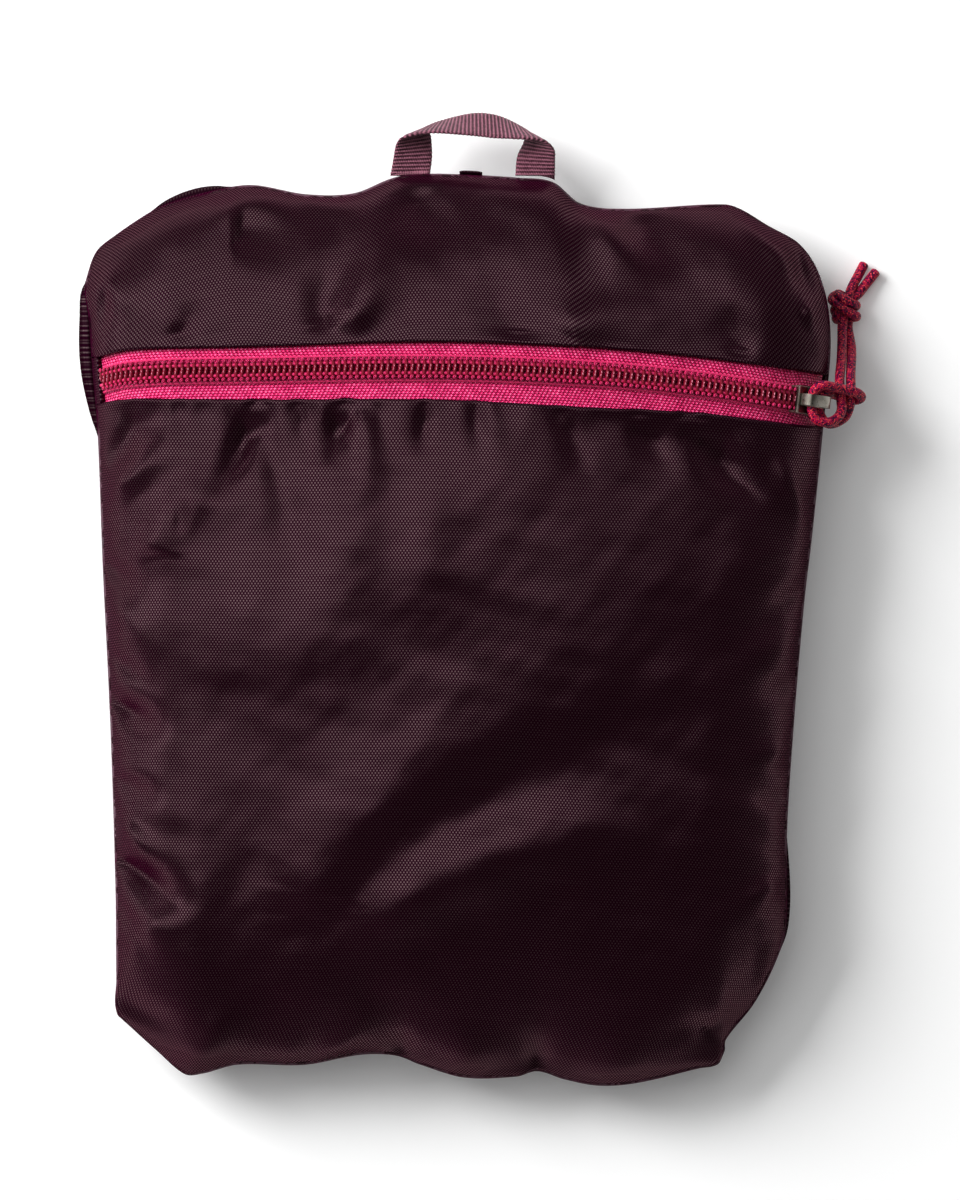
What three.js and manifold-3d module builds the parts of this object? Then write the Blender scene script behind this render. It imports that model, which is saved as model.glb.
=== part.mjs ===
import * as THREE from 'three';
import { mergeVertices } from 'three/addons/utils/BufferGeometryUtils.js';
import Module from 'manifold-3d';

// Packable backpack, stuffed into its own zipped pocket and laid on its back.
// Millimetres. +X to the right, +Y towards the haul loop, +Z up from the ground.
// The origin is on the ground, below the middle of the pouch and its haul loop.

// Driving dimensions of the pouch
const WIDTH = 198;
const HEIGHT = 240;
const SEAM_LEVEL = 14;
const SHOULDER_RISE = 16;
const CROWN_RISE = 16;
const SIDE_ROLL = 24;
const END_ROLL = 34;
const UNDER_ROLL = 16;
const CLOTH = 1.2;
const GAP = 0.3;

// Driving dimensions of the folded pack inside
const PACK_INSET = 11;
const PACK_CLEARANCE = 4.4;

// Driving dimensions of the zipper
const TAPE_THICKNESS = 0.9;
const TAPE_CLEARANCE = 0.45;
const TAPE_REACH = 13;
const TAPE_PARTING = 0.6;
const CHAIN_WIDTH = 5.4;
const CHAIN_HEIGHT = 1.7;
const TOOTH_PITCH = 1.6;
const TOOTH_DEPTH = 1.3;
const TOOTH_CLEARANCE = 0.6;
const END_TAB_WIDTH = 3.4;

// Driving dimensions of the slider
const SLIDER_LENGTH = 10.2;
const SLIDER_PLATE = 0.9;
const SLIDER_TAIL_WIDTH = 7.2;
const SLIDER_SHOULDER_WIDTH = 9.4;
const SLIDER_BEND_ROOM = 0.9;
const SLIDER_POST_WIDTH = 1.1;
const BRIDGE_WIDTH = 2.9;
const BRIDGE_BAR = 1;
const BRIDGE_INSIDE = 3.1;

// Driving dimensions of the cord, the haul loop and the hang tab
const CORD_DIAMETER = 2.5;
const WEBBING_WIDTH = 10;
const WEBBING_THICKNESS = 1.3;
const LOOP_RISE = 15.5;
const LOOP_SPAN = 32.8;
const HANG_TAB_WIDTH = 6;
const HANG_TAB_THICKNESS = 1.2;

// Levels across the zipper band, measured out from the front cloth's outer face
const TAPE_TOP = -(CLOTH + TAPE_CLEARANCE);
const TAPE_BOTTOM = TAPE_TOP - TAPE_THICKNESS;
const CHAIN_BOTTOM = TAPE_TOP + GAP;
const CHAIN_TOP = CHAIN_BOTTOM + CHAIN_HEIGHT;

const TOP_Y = (HEIGHT - LOOP_RISE) / 2;
const BOTTOM_Y = TOP_Y - HEIGHT;

// Turns rows of numbers into rows with named columns
function table(columns, rows) {
  return rows.map((row) => Object.fromEntries(columns.map((name, k) => [name, row[k]])));
}

// Left side of the pouch: height from the bottom as a share of HEIGHT, reach as a share of WIDTH
const LEFT_SIDE = table(['up', 'across'], [
  [0.013, -0.359],
  [0.051, -0.413],
  [0.077, -0.447],
  [0.118, -0.449],
  [0.211, -0.450],
  [0.396, -0.457],
  [0.568, -0.467],
  [0.718, -0.474],
  [0.787, -0.481],
  [0.842, -0.486],
  [0.871, -0.491],
  [0.893, -0.486],
  [0.916, -0.474],
  [0.931, -0.452],
  [0.957, -0.405],
  [0.978, -0.330],
]);

// Right side of the pouch, in the same shares
const RIGHT_SIDE = table(['up', 'across'], [
  [0.013, 0.305],
  [0.023, 0.351],
  [0.038, 0.359],
  [0.051, 0.361],
  [0.090, 0.398],
  [0.138, 0.428],
  [0.176, 0.441],
  [0.279, 0.442],
  [0.396, 0.451],
  [0.531, 0.465],
  [0.600, 0.475],
  [0.729, 0.491],
  [0.819, 0.500],
  [0.882, 0.488],
  [0.925, 0.455],
  [0.960, 0.382],
  [0.966, 0.350],
]);

// Top edge of the pouch: place across as a share of WIDTH, height as a share of HEIGHT
const TOP_EDGE = table(['across', 'up'], [
  [-0.474, 0.915],
  [-0.452, 0.931],
  [-0.405, 0.957],
  [-0.379, 0.967],
  [-0.315, 0.982],
  [-0.267, 0.987],
  [-0.197, 0.977],
  [-0.134, 0.978],
  [-0.085, 0.994],
  [-0.056, 0.999],
  [0.002, 0.999],
  [0.087, 0.995],
  [0.132, 0.990],
  [0.167, 0.967],
  [0.225, 0.961],
  [0.358, 0.966],
  [0.382, 0.960],
  [0.416, 0.943],
  [0.455, 0.925],
  [0.475, 0.908],
]);

// Bottom edge of the pouch, in the same shares
const BOTTOM_EDGE = table(['across', 'up'], [
  [-0.447, 0.077],
  [-0.396, 0.039],
  [-0.359, 0.013],
  [-0.336, 0.013],
  [-0.288, 0.023],
  [-0.199, 0.023],
  [-0.124, 0.034],
  [-0.077, 0.033],
  [-0.045, 0.023],
  [0.013, 0.009],
  [0.083, 0.010],
  [0.110, 0.016],
  [0.146, 0.007],
  [0.192, 0.000],
  [0.243, 0.003],
  [0.325, 0.019],
  [0.351, 0.024],
  [0.359, 0.038],
  [0.375, 0.065],
  [0.398, 0.090],
]);

// Zipper band: the chain's line as a share of HEIGHT, and how far the two cloth
// edges stand off from it, also as shares of HEIGHT
const ZIPPER_LINE = table(['across', 'up', 'above', 'below'], [
  [-0.500, 0.766, 0.0290, 0.0250],
  [-0.434, 0.779, 0.0280, 0.0300],
  [-0.270, 0.7835, 0.0272, 0.0350],
  [-0.019, 0.786, 0.0302, 0.0372],
  [0.179, 0.780, 0.0300, 0.0400],
  [0.326, 0.768, 0.0312, 0.0345],
  [0.458, 0.7515, 0.0335, 0.0300],
  [0.500, 0.7465, 0.0330, 0.0270],
]);

// Where the back cloth stands proud of the front: side, start and end along that side,
// and the reach as a share of WIDTH
const BACK_PROUD = table(['side', 'from', 'to', 'reach'], [
  ['left', 0.715, 0.880, 0.016],
  ['top', -0.400, -0.300, 0.009],
  ['right', 0.150, 0.270, 0.004],
]);

// Folds and ridges of the lower panel: ends across and up, half width and height as shares of WIDTH.
// A negative height is a crease.
const LOWER_FOLDS = table(['across1', 'up1', 'across2', 'up2', 'half', 'height'], [
  [-0.424, 0.742, -0.450, 0.600, 0.012, -0.008],
  [-0.260, 0.742, -0.345, 0.610, 0.016, -0.016],
  [-0.230, 0.742, -0.225, 0.560, 0.020, -0.009],
  [-0.145, 0.742, -0.170, 0.680, 0.012, -0.012],
  [-0.150, 0.700, -0.165, 0.560, 0.024, 0.010],
  [-0.039, 0.740, -0.060, 0.620, 0.014, -0.007],
  [0.027, 0.738, 0.020, 0.620, 0.016, -0.006],
  [0.140, 0.732, 0.150, 0.640, 0.020, -0.006],
  [0.260, 0.730, 0.330, 0.620, 0.022, -0.008],
  [0.313, 0.729, 0.440, 0.600, 0.028, -0.014],
  [0.430, 0.665, 0.472, 0.590, 0.014, 0.012],
  [-0.455, 0.640, -0.400, 0.590, 0.014, -0.012],
  [-0.455, 0.520, -0.405, 0.500, 0.014, -0.008],
  [-0.450, 0.420, -0.385, 0.375, 0.016, -0.014],
  [-0.445, 0.300, -0.395, 0.280, 0.014, -0.008],
  [-0.445, 0.225, -0.365, 0.180, 0.018, -0.014],
  [0.465, 0.560, 0.400, 0.520, 0.016, -0.010],
  [0.455, 0.450, 0.400, 0.420, 0.014, -0.008],
  [0.450, 0.340, 0.405, 0.360, 0.014, -0.008],
  [-0.335, 0.020, -0.255, 0.120, 0.030, 0.014],
  [-0.175, 0.190, 0.080, 0.245, 0.050, 0.010],
  [-0.160, 0.070, -0.100, 0.150, 0.028, 0.012],
  [-0.100, 0.040, -0.110, 0.130, 0.016, -0.014],
  [0.110, 0.020, 0.095, 0.090, 0.016, -0.014],
  [0.354, 0.040, 0.330, 0.120, 0.014, -0.014],
]);

// Folds and ridges of the upper panel, in the same columns
const UPPER_FOLDS = table(['across1', 'up1', 'across2', 'up2', 'half', 'height'], [
  [-0.150, 0.830, -0.070, 0.950, 0.024, 0.012],
  [-0.290, 0.960, -0.260, 0.860, 0.030, -0.012],
  [-0.165, 0.960, -0.160, 0.880, 0.024, -0.014],
  [0.000, 0.975, 0.060, 0.880, 0.040, -0.008],
  [0.165, 0.955, 0.200, 0.870, 0.018, -0.016],
  [0.215, 0.940, 0.270, 0.860, 0.022, 0.014],
  [0.345, 0.955, 0.450, 0.885, 0.020, 0.010],
  [0.390, 0.945, 0.478, 0.868, 0.014, -0.018],
  [-0.462, 0.880, -0.440, 0.830, 0.014, -0.010],
]);

const clamp = (value, low, high) => Math.min(Math.max(value, low), high);
const mix = (a, b, t) => a + (b - a) * t;
const smooth = (t) => clamp(t, 0, 1) ** 2 * (3 - 2 * clamp(t, 0, 1));
const xAt = (across) => across * WIDTH;
const yAt = (up) => BOTTOM_Y + up * HEIGHT;

// Smooth curve through a table's rows, giving one column as a function of another
function curveThrough(rows, from, to) {
  const knots = rows.map((row) => [row[from], row[to]]);
  const last = knots.length - 1;
  const slope = (k) => {
    const [before, after] = [knots[Math.max(k - 1, 0)], knots[Math.min(k + 1, last)]];
    return (after[1] - before[1]) / (after[0] - before[0]);
  };
  return (value) => {
    const x = clamp(value, knots[0][0], knots[last][0]);
    let k = 0;
    while (k < last - 1 && x > knots[k + 1][0]) {
      k += 1;
    }
    const span = knots[k + 1][0] - knots[k][0];
    const t = (x - knots[k][0]) / span;
    const rise = [2 * t ** 3 - 3 * t ** 2 + 1, t ** 3 - 2 * t ** 2 + t, 3 * t ** 2 - 2 * t ** 3, t ** 3 - t ** 2];
    return rise[0] * knots[k][1] + rise[1] * span * slope(k)
      + rise[2] * knots[k + 1][1] + rise[3] * span * slope(k + 1);
  };
}

const leftShare = curveThrough(LEFT_SIDE, 'up', 'across');
const rightShare = curveThrough(RIGHT_SIDE, 'up', 'across');
const topShare = curveThrough(TOP_EDGE, 'across', 'up');
const bottomShare = curveThrough(BOTTOM_EDGE, 'across', 'up');
const zipperShare = curveThrough(ZIPPER_LINE, 'across', 'up');
const aboveShare = curveThrough(ZIPPER_LINE, 'across', 'above');
const belowShare = curveThrough(ZIPPER_LINE, 'across', 'below');

// How far the back cloth stands out beyond the front at a place along one side
function proudReach(side, share) {
  const row = BACK_PROUD.find((entry) => entry.side === side);
  const t = clamp((share - row.from) / (row.to - row.from), 0, 1);
  return row.reach * WIDTH * Math.sin(Math.PI * t) ** 0.7;
}

const upOf = (y) => (y - BOTTOM_Y) / HEIGHT;
const leftX = (y, proud) => xAt(leftShare(upOf(y))) - proud * proudReach('left', upOf(y));
const rightX = (y, proud) => xAt(rightShare(upOf(y))) + proud * proudReach('right', upOf(y));
const topY = (x, proud) => yAt(topShare(x / WIDTH)) + proud * proudReach('top', x / WIDTH);
const bottomY = (x) => yAt(bottomShare(x / WIDTH));
const chainY = (x) => yAt(zipperShare(x / WIDTH));
const upperHemY = (x) => chainY(x) + aboveShare(x / WIDTH) * HEIGHT;
const lowerHemY = (x) => chainY(x) - belowShare(x / WIDTH) * HEIGHT;

// Quarter-ellipse roll: 0 at the outline, 1 once a point is the roll's width inside it
function roll(distance, width) {
  const t = clamp(distance / width, 0, 1);
  return Math.sqrt(1 - (1 - t) ** 2);
}

// Share of full height at a point, from its distance to all four sides
function pillow(x, y, sideRoll, endRoll, proud) {
  const sides = roll(x - leftX(y, proud), sideRoll) * roll(rightX(y, proud) - x, sideRoll);
  const ends = roll(topY(x, proud) - y, endRoll) * roll(y - bottomY(x), endRoll);
  return sides * ends;
}

// Front surface without its folds: rolled shoulders under a broad crown
function frontLevel(x, y) {
  const acrossCrown = Math.max(1 - (2 * x / WIDTH) ** 2, 0) ** 1.5;
  const upCrown = Math.max(1 - (2 * (y - (TOP_Y + BOTTOM_Y) / 2) / HEIGHT) ** 2, 0) ** 1.2;
  return SEAM_LEVEL + SHOULDER_RISE * pillow(x, y, SIDE_ROLL, END_ROLL, 0) + CROWN_RISE * acrossCrown * upCrown;
}

// Height of the folds in a table at a point, faded out at the pouch's outline
function foldRelief(folds, x, y) {
  let relief = 0;
  for (const fold of folds) {
    const start = new THREE.Vector2(xAt(fold.across1), yAt(fold.up1));
    const along = new THREE.Vector2(xAt(fold.across2), yAt(fold.up2)).sub(start);
    const offset = new THREE.Vector2(x, y).sub(start);
    const t = offset.dot(along) / along.lengthSq();
    const nearest = along.clone().multiplyScalar(clamp(t, 0, 1));
    const away = offset.sub(nearest).length() / (fold.half * WIDTH);
    relief += fold.height * WIDTH * Math.exp(-(away ** 2)) * (1 - 0.5 * clamp(t, 0, 1));
  }
  return relief * smooth(pillow(x, y, SIDE_ROLL, SIDE_ROLL, 0) * 1.6);
}

// Folds of the two front panels. Creases fade where the cloth lies on the zipper tape.
function panelRelief(folds, hemDistance, x, y) {
  const relief = foldRelief(folds, x, y);
  return relief < 0 ? relief * smooth((hemDistance - TAPE_REACH / 2) / TAPE_REACH) : relief;
}

const lowerLevel = (x, y) => frontLevel(x, y) + panelRelief(LOWER_FOLDS, lowerHemY(x) - y, x, y);
const upperLevel = (x, y) => frontLevel(x, y) + panelRelief(UPPER_FOLDS, y - upperHemY(x), x, y);
const backLevel = (x, y) => (SEAM_LEVEL - GAP) * (1 - pillow(x, y, UNDER_ROLL, UNDER_ROLL, 1));

// Unit normal of a height function at a point
function normalOf(level, x, y) {
  const step = 0.3;
  const dx = (level(x + step, y) - level(x - step, y)) / (2 * step);
  const dy = (level(x, y + step) - level(x, y - step)) / (2 * step);
  return new THREE.Vector3(-dx, -dy, 1).normalize();
}

// Closed body between two grids of points with the same layout, turned to face outwards
function bodyBetween(upper, lower) {
  const rows = upper.length;
  const columns = upper[0].length;
  const points = [...upper.flat(), ...lower.flat()];
  const id = (side, i, j) => side * rows * columns + i * columns + j;
  const faces = [];
  const quad = (a, b, c, d) => faces.push([a, b, c], [a, c, d]);
  for (let i = 0; i + 1 < rows; i += 1) {
    for (let j = 0; j + 1 < columns; j += 1) {
      quad(id(0, i, j), id(0, i, j + 1), id(0, i + 1, j + 1), id(0, i + 1, j));
      quad(id(1, i, j), id(1, i + 1, j), id(1, i + 1, j + 1), id(1, i, j + 1));
    }
  }
  for (let i = 0; i + 1 < rows; i += 1) {
    quad(id(0, i, 0), id(0, i + 1, 0), id(1, i + 1, 0), id(1, i, 0));
    quad(id(0, i + 1, columns - 1), id(0, i, columns - 1), id(1, i, columns - 1), id(1, i + 1, columns - 1));
  }
  for (let j = 0; j + 1 < columns; j += 1) {
    quad(id(0, 0, j + 1), id(0, 0, j), id(1, 0, j), id(1, 0, j + 1));
    quad(id(0, rows - 1, j), id(0, rows - 1, j + 1), id(1, rows - 1, j + 1), id(1, rows - 1, j));
  }
  return facesToGeometry(points, faces);
}

// Geometry from points and triangles, with its faces turned outwards
function facesToGeometry(points, faces) {
  let volume = 0;
  for (const [a, b, c] of faces) {
    volume += points[a].dot(points[b].clone().cross(points[c])) / 6;
  }
  const turned = volume < 0 ? faces.map(([a, b, c]) => [a, c, b]) : faces;
  const geometry = new THREE.BufferGeometry();
  geometry.setAttribute('position', new THREE.Float32BufferAttribute(points.flatMap((p) => [p.x, p.y, p.z]), 3));
  geometry.setIndex(turned.flat());
  return geometry;
}

const evenShares = (count) => Array.from({ length: count + 1 }, (_, k) => k / count);

// Shares from 0 to 1 along a length, spaced by equal angles round the roll at each end
function rolledShares(length, rolls, rollSteps, middleSteps) {
  const curl = (k, steps) => 1 - Math.cos((Math.PI / 2) * (k / steps));
  const [start, end] = [rolls[0] / length, rolls[1] / length];
  const first = Array.from({ length: rollSteps[0] }, (_, k) => start * curl(k, rollSteps[0]));
  const middle = evenShares(middleSteps).map((t) => mix(start, 1 - end, t));
  const last = Array.from({ length: rollSteps[1] }, (_, k) => 1 - end * curl(k, rollSteps[1])).reverse();
  return [...first, ...middle, ...last];
}

// Plan grid blended between four boundary curves, each a function of a share from 0 to 1
function blendedGrid(sides, acrossShares, downShares) {
  const { top, bottom, left, right } = sides;
  const corners = [top(0), top(1), bottom(0), bottom(1)];
  return downShares.map((v) => acrossShares.map((u) => {
    const point = new THREE.Vector2();
    point.addScaledVector(top(u), 1 - v).addScaledVector(bottom(u), v);
    point.addScaledVector(left(v), 1 - u).addScaledVector(right(v), u);
    point.addScaledVector(corners[0], -(1 - u) * (1 - v)).addScaledVector(corners[1], -u * (1 - v));
    point.addScaledVector(corners[2], -(1 - u) * v).addScaledVector(corners[3], -u * v);
    return u > 0 && u < 1 && v > 0 && v < 1 ? keptInside(point) : point;
  }));
}

// Keeps an inner point of a panel just inside the pouch's outline, where a corner bends sharply
function keptInside(point) {
  point.y = clamp(point.y, bottomY(point.x) + CLOTH / 2, topY(point.x, 0) - CLOTH / 2);
  point.x = clamp(point.x, leftX(point.y, 0) + CLOTH / 2, rightX(point.y, 0) - CLOTH / 2);
  return point;
}

// Point of the pouch's outline where a line across it, given as y over x, meets one side
function meetSide(line, side, start) {
  let x = start;
  for (let turn = 0; turn < 30; turn += 1) {
    x = side(line(x), 0);
  }
  return x;
}

const CORNERS = {
  topLeft: { x: xAt(-0.452), y: yAt(0.931) },
  topRight: { x: xAt(0.455), y: yAt(0.925) },
  bottomLeft: { x: xAt(-0.447), y: yAt(0.077) },
  bottomRight: { x: xAt(0.359), y: yAt(0.038) },
};

// Boundaries of a panel between an upper line and a lower line given as y over x
function panelSides(upperLine, upperEnds, lowerLine, lowerEnds, proud) {
  const along = (line, ends) => (u) => {
    const x = mix(ends[0], ends[1], u);
    return new THREE.Vector2(x, line(x));
  };
  const down = (side, end) => (v) => {
    const y = mix(upperLine(upperEnds[end]), lowerLine(lowerEnds[end]), v);
    return new THREE.Vector2(side(y, proud), y);
  };
  return {
    top: along(upperLine, upperEnds),
    bottom: along(lowerLine, lowerEnds),
    left: down(leftX, 0),
    right: down(rightX, 1),
  };
}

// Cloth wall over a plan grid. Rims that lie on the pouch's seam keep the seam's level.
function clothWall(grid, level, thickness, seams) {
  const rows = grid.length;
  const columns = grid[0].length;
  const inwardAt = (i, j) => {
    const target = new THREE.Vector2(0, 0);
    if (j === 0) target.x += 1;
    if (j === columns - 1) target.x -= 1;
    if (i === 0 && seams.top) target.y -= 1;
    if (i === rows - 1 && seams.bottom) target.y += 1;
    const before = grid[Math.max(i - 1, 0)][j].clone();
    const after = grid[Math.min(i + 1, rows - 1)][j].clone();
    const onSide = j === 0 || j === columns - 1;
    const along = onSide ? after.sub(before) : grid[i][j + 1].clone().sub(grid[i][j - 1]);
    const normal = new THREE.Vector2(-along.y, along.x).normalize();
    if (normal.dot(target) < 0) normal.negate();
    return target.lengthSq() > 1.5 ? target.normalize() : normal;
  };
  const outer = grid.map((row) => row.map((p) => new THREE.Vector3(p.x, p.y, level(p.x, p.y))));
  const inner = grid.map((row, i) => row.map((p, j) => {
    const onSeam = j === 0 || j === columns - 1 || (i === 0 && seams.top) || (i === rows - 1 && seams.bottom);
    if (onSeam) {
      const inward = inwardAt(i, j).multiplyScalar(Math.abs(thickness));
      return outer[i][j].clone().add(new THREE.Vector3(inward.x, inward.y, 0));
    }
    const point = outer[i][j].clone().addScaledVector(normalOf(level, p.x, p.y), -thickness);
    return point.setZ(Math.max(point.z, SEAM_LEVEL));
  }));
  return bodyBetween(outer, inner);
}

// Front panel below the zipper, gathered along its hem
function frontLowerPanel() {
  const hemEnds = [meetSide(lowerHemY, leftX, -WIDTH / 2), meetSide(lowerHemY, rightX, WIDTH / 2)];
  const bottomEnds = [CORNERS.bottomLeft.x, CORNERS.bottomRight.x];
  const sides = panelSides(lowerHemY, hemEnds, bottomY, bottomEnds, 0);
  const across = rolledShares(WIDTH, [SIDE_ROLL, SIDE_ROLL], [5, 5], 22);
  const down = rolledShares(lowerHemY(0) - BOTTOM_Y, [END_ROLL / 2, END_ROLL], [2, 5], 14);
  return clothWall(blendedGrid(sides, across, down), lowerLevel, CLOTH, { top: false, bottom: true });
}

// Front panel above the zipper
function frontUpperPanel() {
  const hemEnds = [meetSide(upperHemY, leftX, -WIDTH / 2), meetSide(upperHemY, rightX, WIDTH / 2)];
  const topEnds = [CORNERS.topLeft.x, CORNERS.topRight.x];
  const sides = panelSides((x) => topY(x, 0), topEnds, upperHemY, hemEnds, 0);
  const across = rolledShares(WIDTH, [SIDE_ROLL, SIDE_ROLL], [5, 5], 22);
  const down = rolledShares(TOP_Y - upperHemY(0), [END_ROLL, 0], [5, 0], 3);
  return clothWall(blendedGrid(sides, across, down), upperLevel, CLOTH, { top: true, bottom: false });
}

// Whole outline of the pouch, optionally with the back cloth's proud stretches
function pouchSides(proud) {
  const topEnds = [CORNERS.topLeft.x, CORNERS.topRight.x];
  const bottomEnds = [CORNERS.bottomLeft.x, CORNERS.bottomRight.x];
  return panelSides((x) => topY(x, proud), topEnds, bottomY, bottomEnds, proud);
}

// Back cloth: flat where it lies, rolled up to the seam all round
function backPanel() {
  const across = rolledShares(WIDTH, [UNDER_ROLL, UNDER_ROLL], [4, 4], 13);
  const down = rolledShares(HEIGHT, [UNDER_ROLL, UNDER_ROLL], [4, 4], 13);
  const grid = blendedGrid(pouchSides(1), across, down);
  const plain = blendedGrid(pouchSides(0), across, down);
  const rows = grid.length;
  const columns = grid[0].length;
  const outer = grid.map((row) => row.map((p) => new THREE.Vector3(p.x, p.y, backLevel(p.x, p.y))));
  const inner = plain.map((row, i) => row.map((p, j) => {
    const onSeam = i === 0 || j === 0 || i === rows - 1 || j === columns - 1;
    if (!onSeam) {
      const point = outer[i][j].clone().addScaledVector(normalOf(backLevel, grid[i][j].x, grid[i][j].y), CLOTH);
      return point.setZ(Math.min(point.z, SEAM_LEVEL - GAP));
    }
    const across = (j === 0) - (j === columns - 1);
    const up = (i === rows - 1) - (i === 0);
    const inward = new THREE.Vector2(across, up).normalize().multiplyScalar(CLOTH);
    return new THREE.Vector3(p.x + inward.x, p.y + inward.y, SEAM_LEVEL - GAP);
  }));
  return bodyBetween(outer, inner);
}

// Folded pack: a soft block that lies on the back cloth and holds the front up
function foldedPack() {
  const full = blendedGrid(pouchSides(0), evenShares(12), evenShares(12));
  const rows = full.length;
  const columns = full[0].length;
  const middle = new THREE.Vector2(0, (TOP_Y + BOTTOM_Y) / 2);
  const half = new THREE.Vector2(WIDTH / 2, HEIGHT / 2);
  const shrink = new THREE.Vector2((half.x - PACK_INSET) / half.x, (half.y - PACK_INSET) / half.y);
  const grid = full.map((row) => row.map((p) => p.clone().sub(middle).multiply(shrink).add(middle)));
  const rimDrop = (i, j) => (i === 0 || j === 0 || i === rows - 1 || j === columns - 1 ? PACK_CLEARANCE : 0);
  const creases = (x, y) => Math.min(foldRelief(LOWER_FOLDS, x, y) + foldRelief(UPPER_FOLDS, x, y), 0);
  const upper = grid.map((row, i) => row.map((p, j) => {
    const top = frontLevel(p.x, p.y) + creases(p.x, p.y) - PACK_CLEARANCE - rimDrop(i, j);
    return new THREE.Vector3(p.x, p.y, top);
  }));
  const lower = grid.map((row, i) => row.map((p, j) => {
    const floor = backLevel(p.x, p.y) + CLOTH + GAP * 1.5;
    return new THREE.Vector3(p.x, p.y, floor + rimDrop(i, j) / 2);
  }));
  return bodyBetween(upper, lower);
}

// Point of the zipper band: a place across the pouch, an offset from the chain's line
// and a height above the front cloth's outer face
function bandPoint(x, offset, height) {
  const y = chainY(x) + offset;
  const normal = normalOf(frontLevel, x, y);
  return new THREE.Vector3(x, y, frontLevel(x, y)).addScaledVector(normal, height);
}

// Places across the pouch, evenly spaced along the chain as it runs over the shoulders
function chainPlaces(fromX, toX, step) {
  const fine = 0.1;
  const places = [fromX];
  let travelled = 0;
  let before = bandPoint(fromX, 0, 0);
  for (let x = fromX + fine; x <= toX; x += fine) {
    const here = bandPoint(x, 0, 0);
    travelled += here.distanceTo(before);
    before = here;
    if (travelled >= step) {
      places.push(x);
      travelled -= step;
    }
  }
  return places;
}

const BAND_LEFT = meetSide(chainY, leftX, -WIDTH / 2);
const BAND_RIGHT = meetSide(chainY, rightX, WIDTH / 2);
const CHAIN_START = BAND_LEFT + END_TAB_WIDTH + GAP;
const SLIDER_X = BAND_RIGHT - SLIDER_LENGTH * 0.5;
const POST_START = SLIDER_LENGTH * 0.08;
const CHAIN_END = SLIDER_X + POST_START * 0.5;

// One zipper tape, above the chain's line for side 1 and below it for side -1
function zipperTape(side) {
  const shares = rolledShares(WIDTH, [SIDE_ROLL, SIDE_ROLL], [7, 7], 16);
  const rowPlaces = (offset) => {
    const line = (x) => chainY(x) + offset;
    const start = meetSide(line, leftX, -WIDTH / 2) + END_TAB_WIDTH / 2;
    const end = meetSide(line, rightX, WIDTH / 2) - CLOTH;
    return shares.map((t) => mix(start, end, t));
  };
  const parting = (x) => {
    const spread = smooth((x - SLIDER_X + SLIDER_LENGTH / 2) / (SLIDER_LENGTH / 2));
    return mix(TAPE_PARTING / 2, SLIDER_POST_WIDTH / 2 + GAP * 1.5, spread);
  };
  const offsetAt = (x, t) => side * mix(parting(x), TAPE_REACH, t);
  const layer = (height) => evenShares(2).map((t) => {
    return rowPlaces(side * TAPE_REACH * t).map((x) => bandPoint(x, offsetAt(x, t), height));
  });
  return bodyBetween(layer(TAPE_TOP), layer(TAPE_BOTTOM));
}

// One half of the closed chain: a strip whose inner edge is cut into teeth
function zipperCoil(side) {
  const places = chainPlaces(CHAIN_START, CHAIN_END, TOOTH_PITCH / 2);
  const count = places.length - 1 - ((places.length - 1) % 4);
  const points = [];
  const put = (x, offset, height) => points.push(bandPoint(x, offset, height)) - 1;
  const tooth = (k) => (k % 2 === 0 ? 0.5 : -0.5) * TOOTH_DEPTH + (side * TOOTH_CLEARANCE) / 2;
  const teeth = [];
  const backs = [];
  for (let k = 0; k <= count; k += 1) {
    teeth.push([CHAIN_TOP, CHAIN_BOTTOM].map((height) => put(places[k], tooth(k), height)));
    if (k % 4 === 0) {
      backs.push([CHAIN_TOP, CHAIN_BOTTOM].map((height) => put(places[k], (side * CHAIN_WIDTH) / 2, height)));
    }
  }
  const faces = [];
  const both = (a, b, c) => faces.push([a[0], b[0], c[0]], [a[1], c[1], b[1]]);
  const wall = (a, b) => faces.push([a[0], a[1], b[1]], [a[0], b[1], b[0]]);
  for (let group = 0; group + 1 < backs.length; group += 1) {
    const first = group * 4;
    both(backs[group], teeth[first], teeth[first + 1]);
    both(backs[group], teeth[first + 1], teeth[first + 2]);
    both(backs[group], teeth[first + 2], backs[group + 1]);
    both(backs[group + 1], teeth[first + 2], teeth[first + 3]);
    both(backs[group + 1], teeth[first + 3], teeth[first + 4]);
    for (let k = first; k < first + 4; k += 1) {
      wall(teeth[k], teeth[k + 1]);
    }
    wall(backs[group + 1], backs[group]);
  }
  wall(backs[0], teeth[0]);
  wall(teeth[count], backs[backs.length - 1]);
  return facesToGeometry(points, faces);
}

// Cloth tab over the left end of the tapes, between the hems of the two front panels
function zipperEndTab() {
  const shares = evenShares(4);
  const grid = shares.map((v) => shares.map((u) => {
    const point = new THREE.Vector2(BAND_LEFT, chainY(BAND_LEFT));
    for (let turn = 0; turn < 8; turn += 1) {
      point.y = mix(upperHemY(point.x) - GAP * 1.5, lowerHemY(point.x) + GAP * 1.5, v);
      point.x = leftX(point.y, 0) + END_TAB_WIDTH * u * u;
    }
    return point;
  }));
  const outer = grid.map((row) => row.map((p) => new THREE.Vector3(p.x, p.y, frontLevel(p.x, p.y))));
  const inner = grid.map((row, i) => row.map((p, j) => {
    const normal = j === 0 ? new THREE.Vector3(-1, 0, 0) : normalOf(frontLevel, p.x, p.y);
    return outer[i][j].clone().addScaledVector(normal, -CLOTH);
  }));
  return bodyBetween(outer, inner);
}

const wasm = await Module();
wasm.setup();

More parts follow.
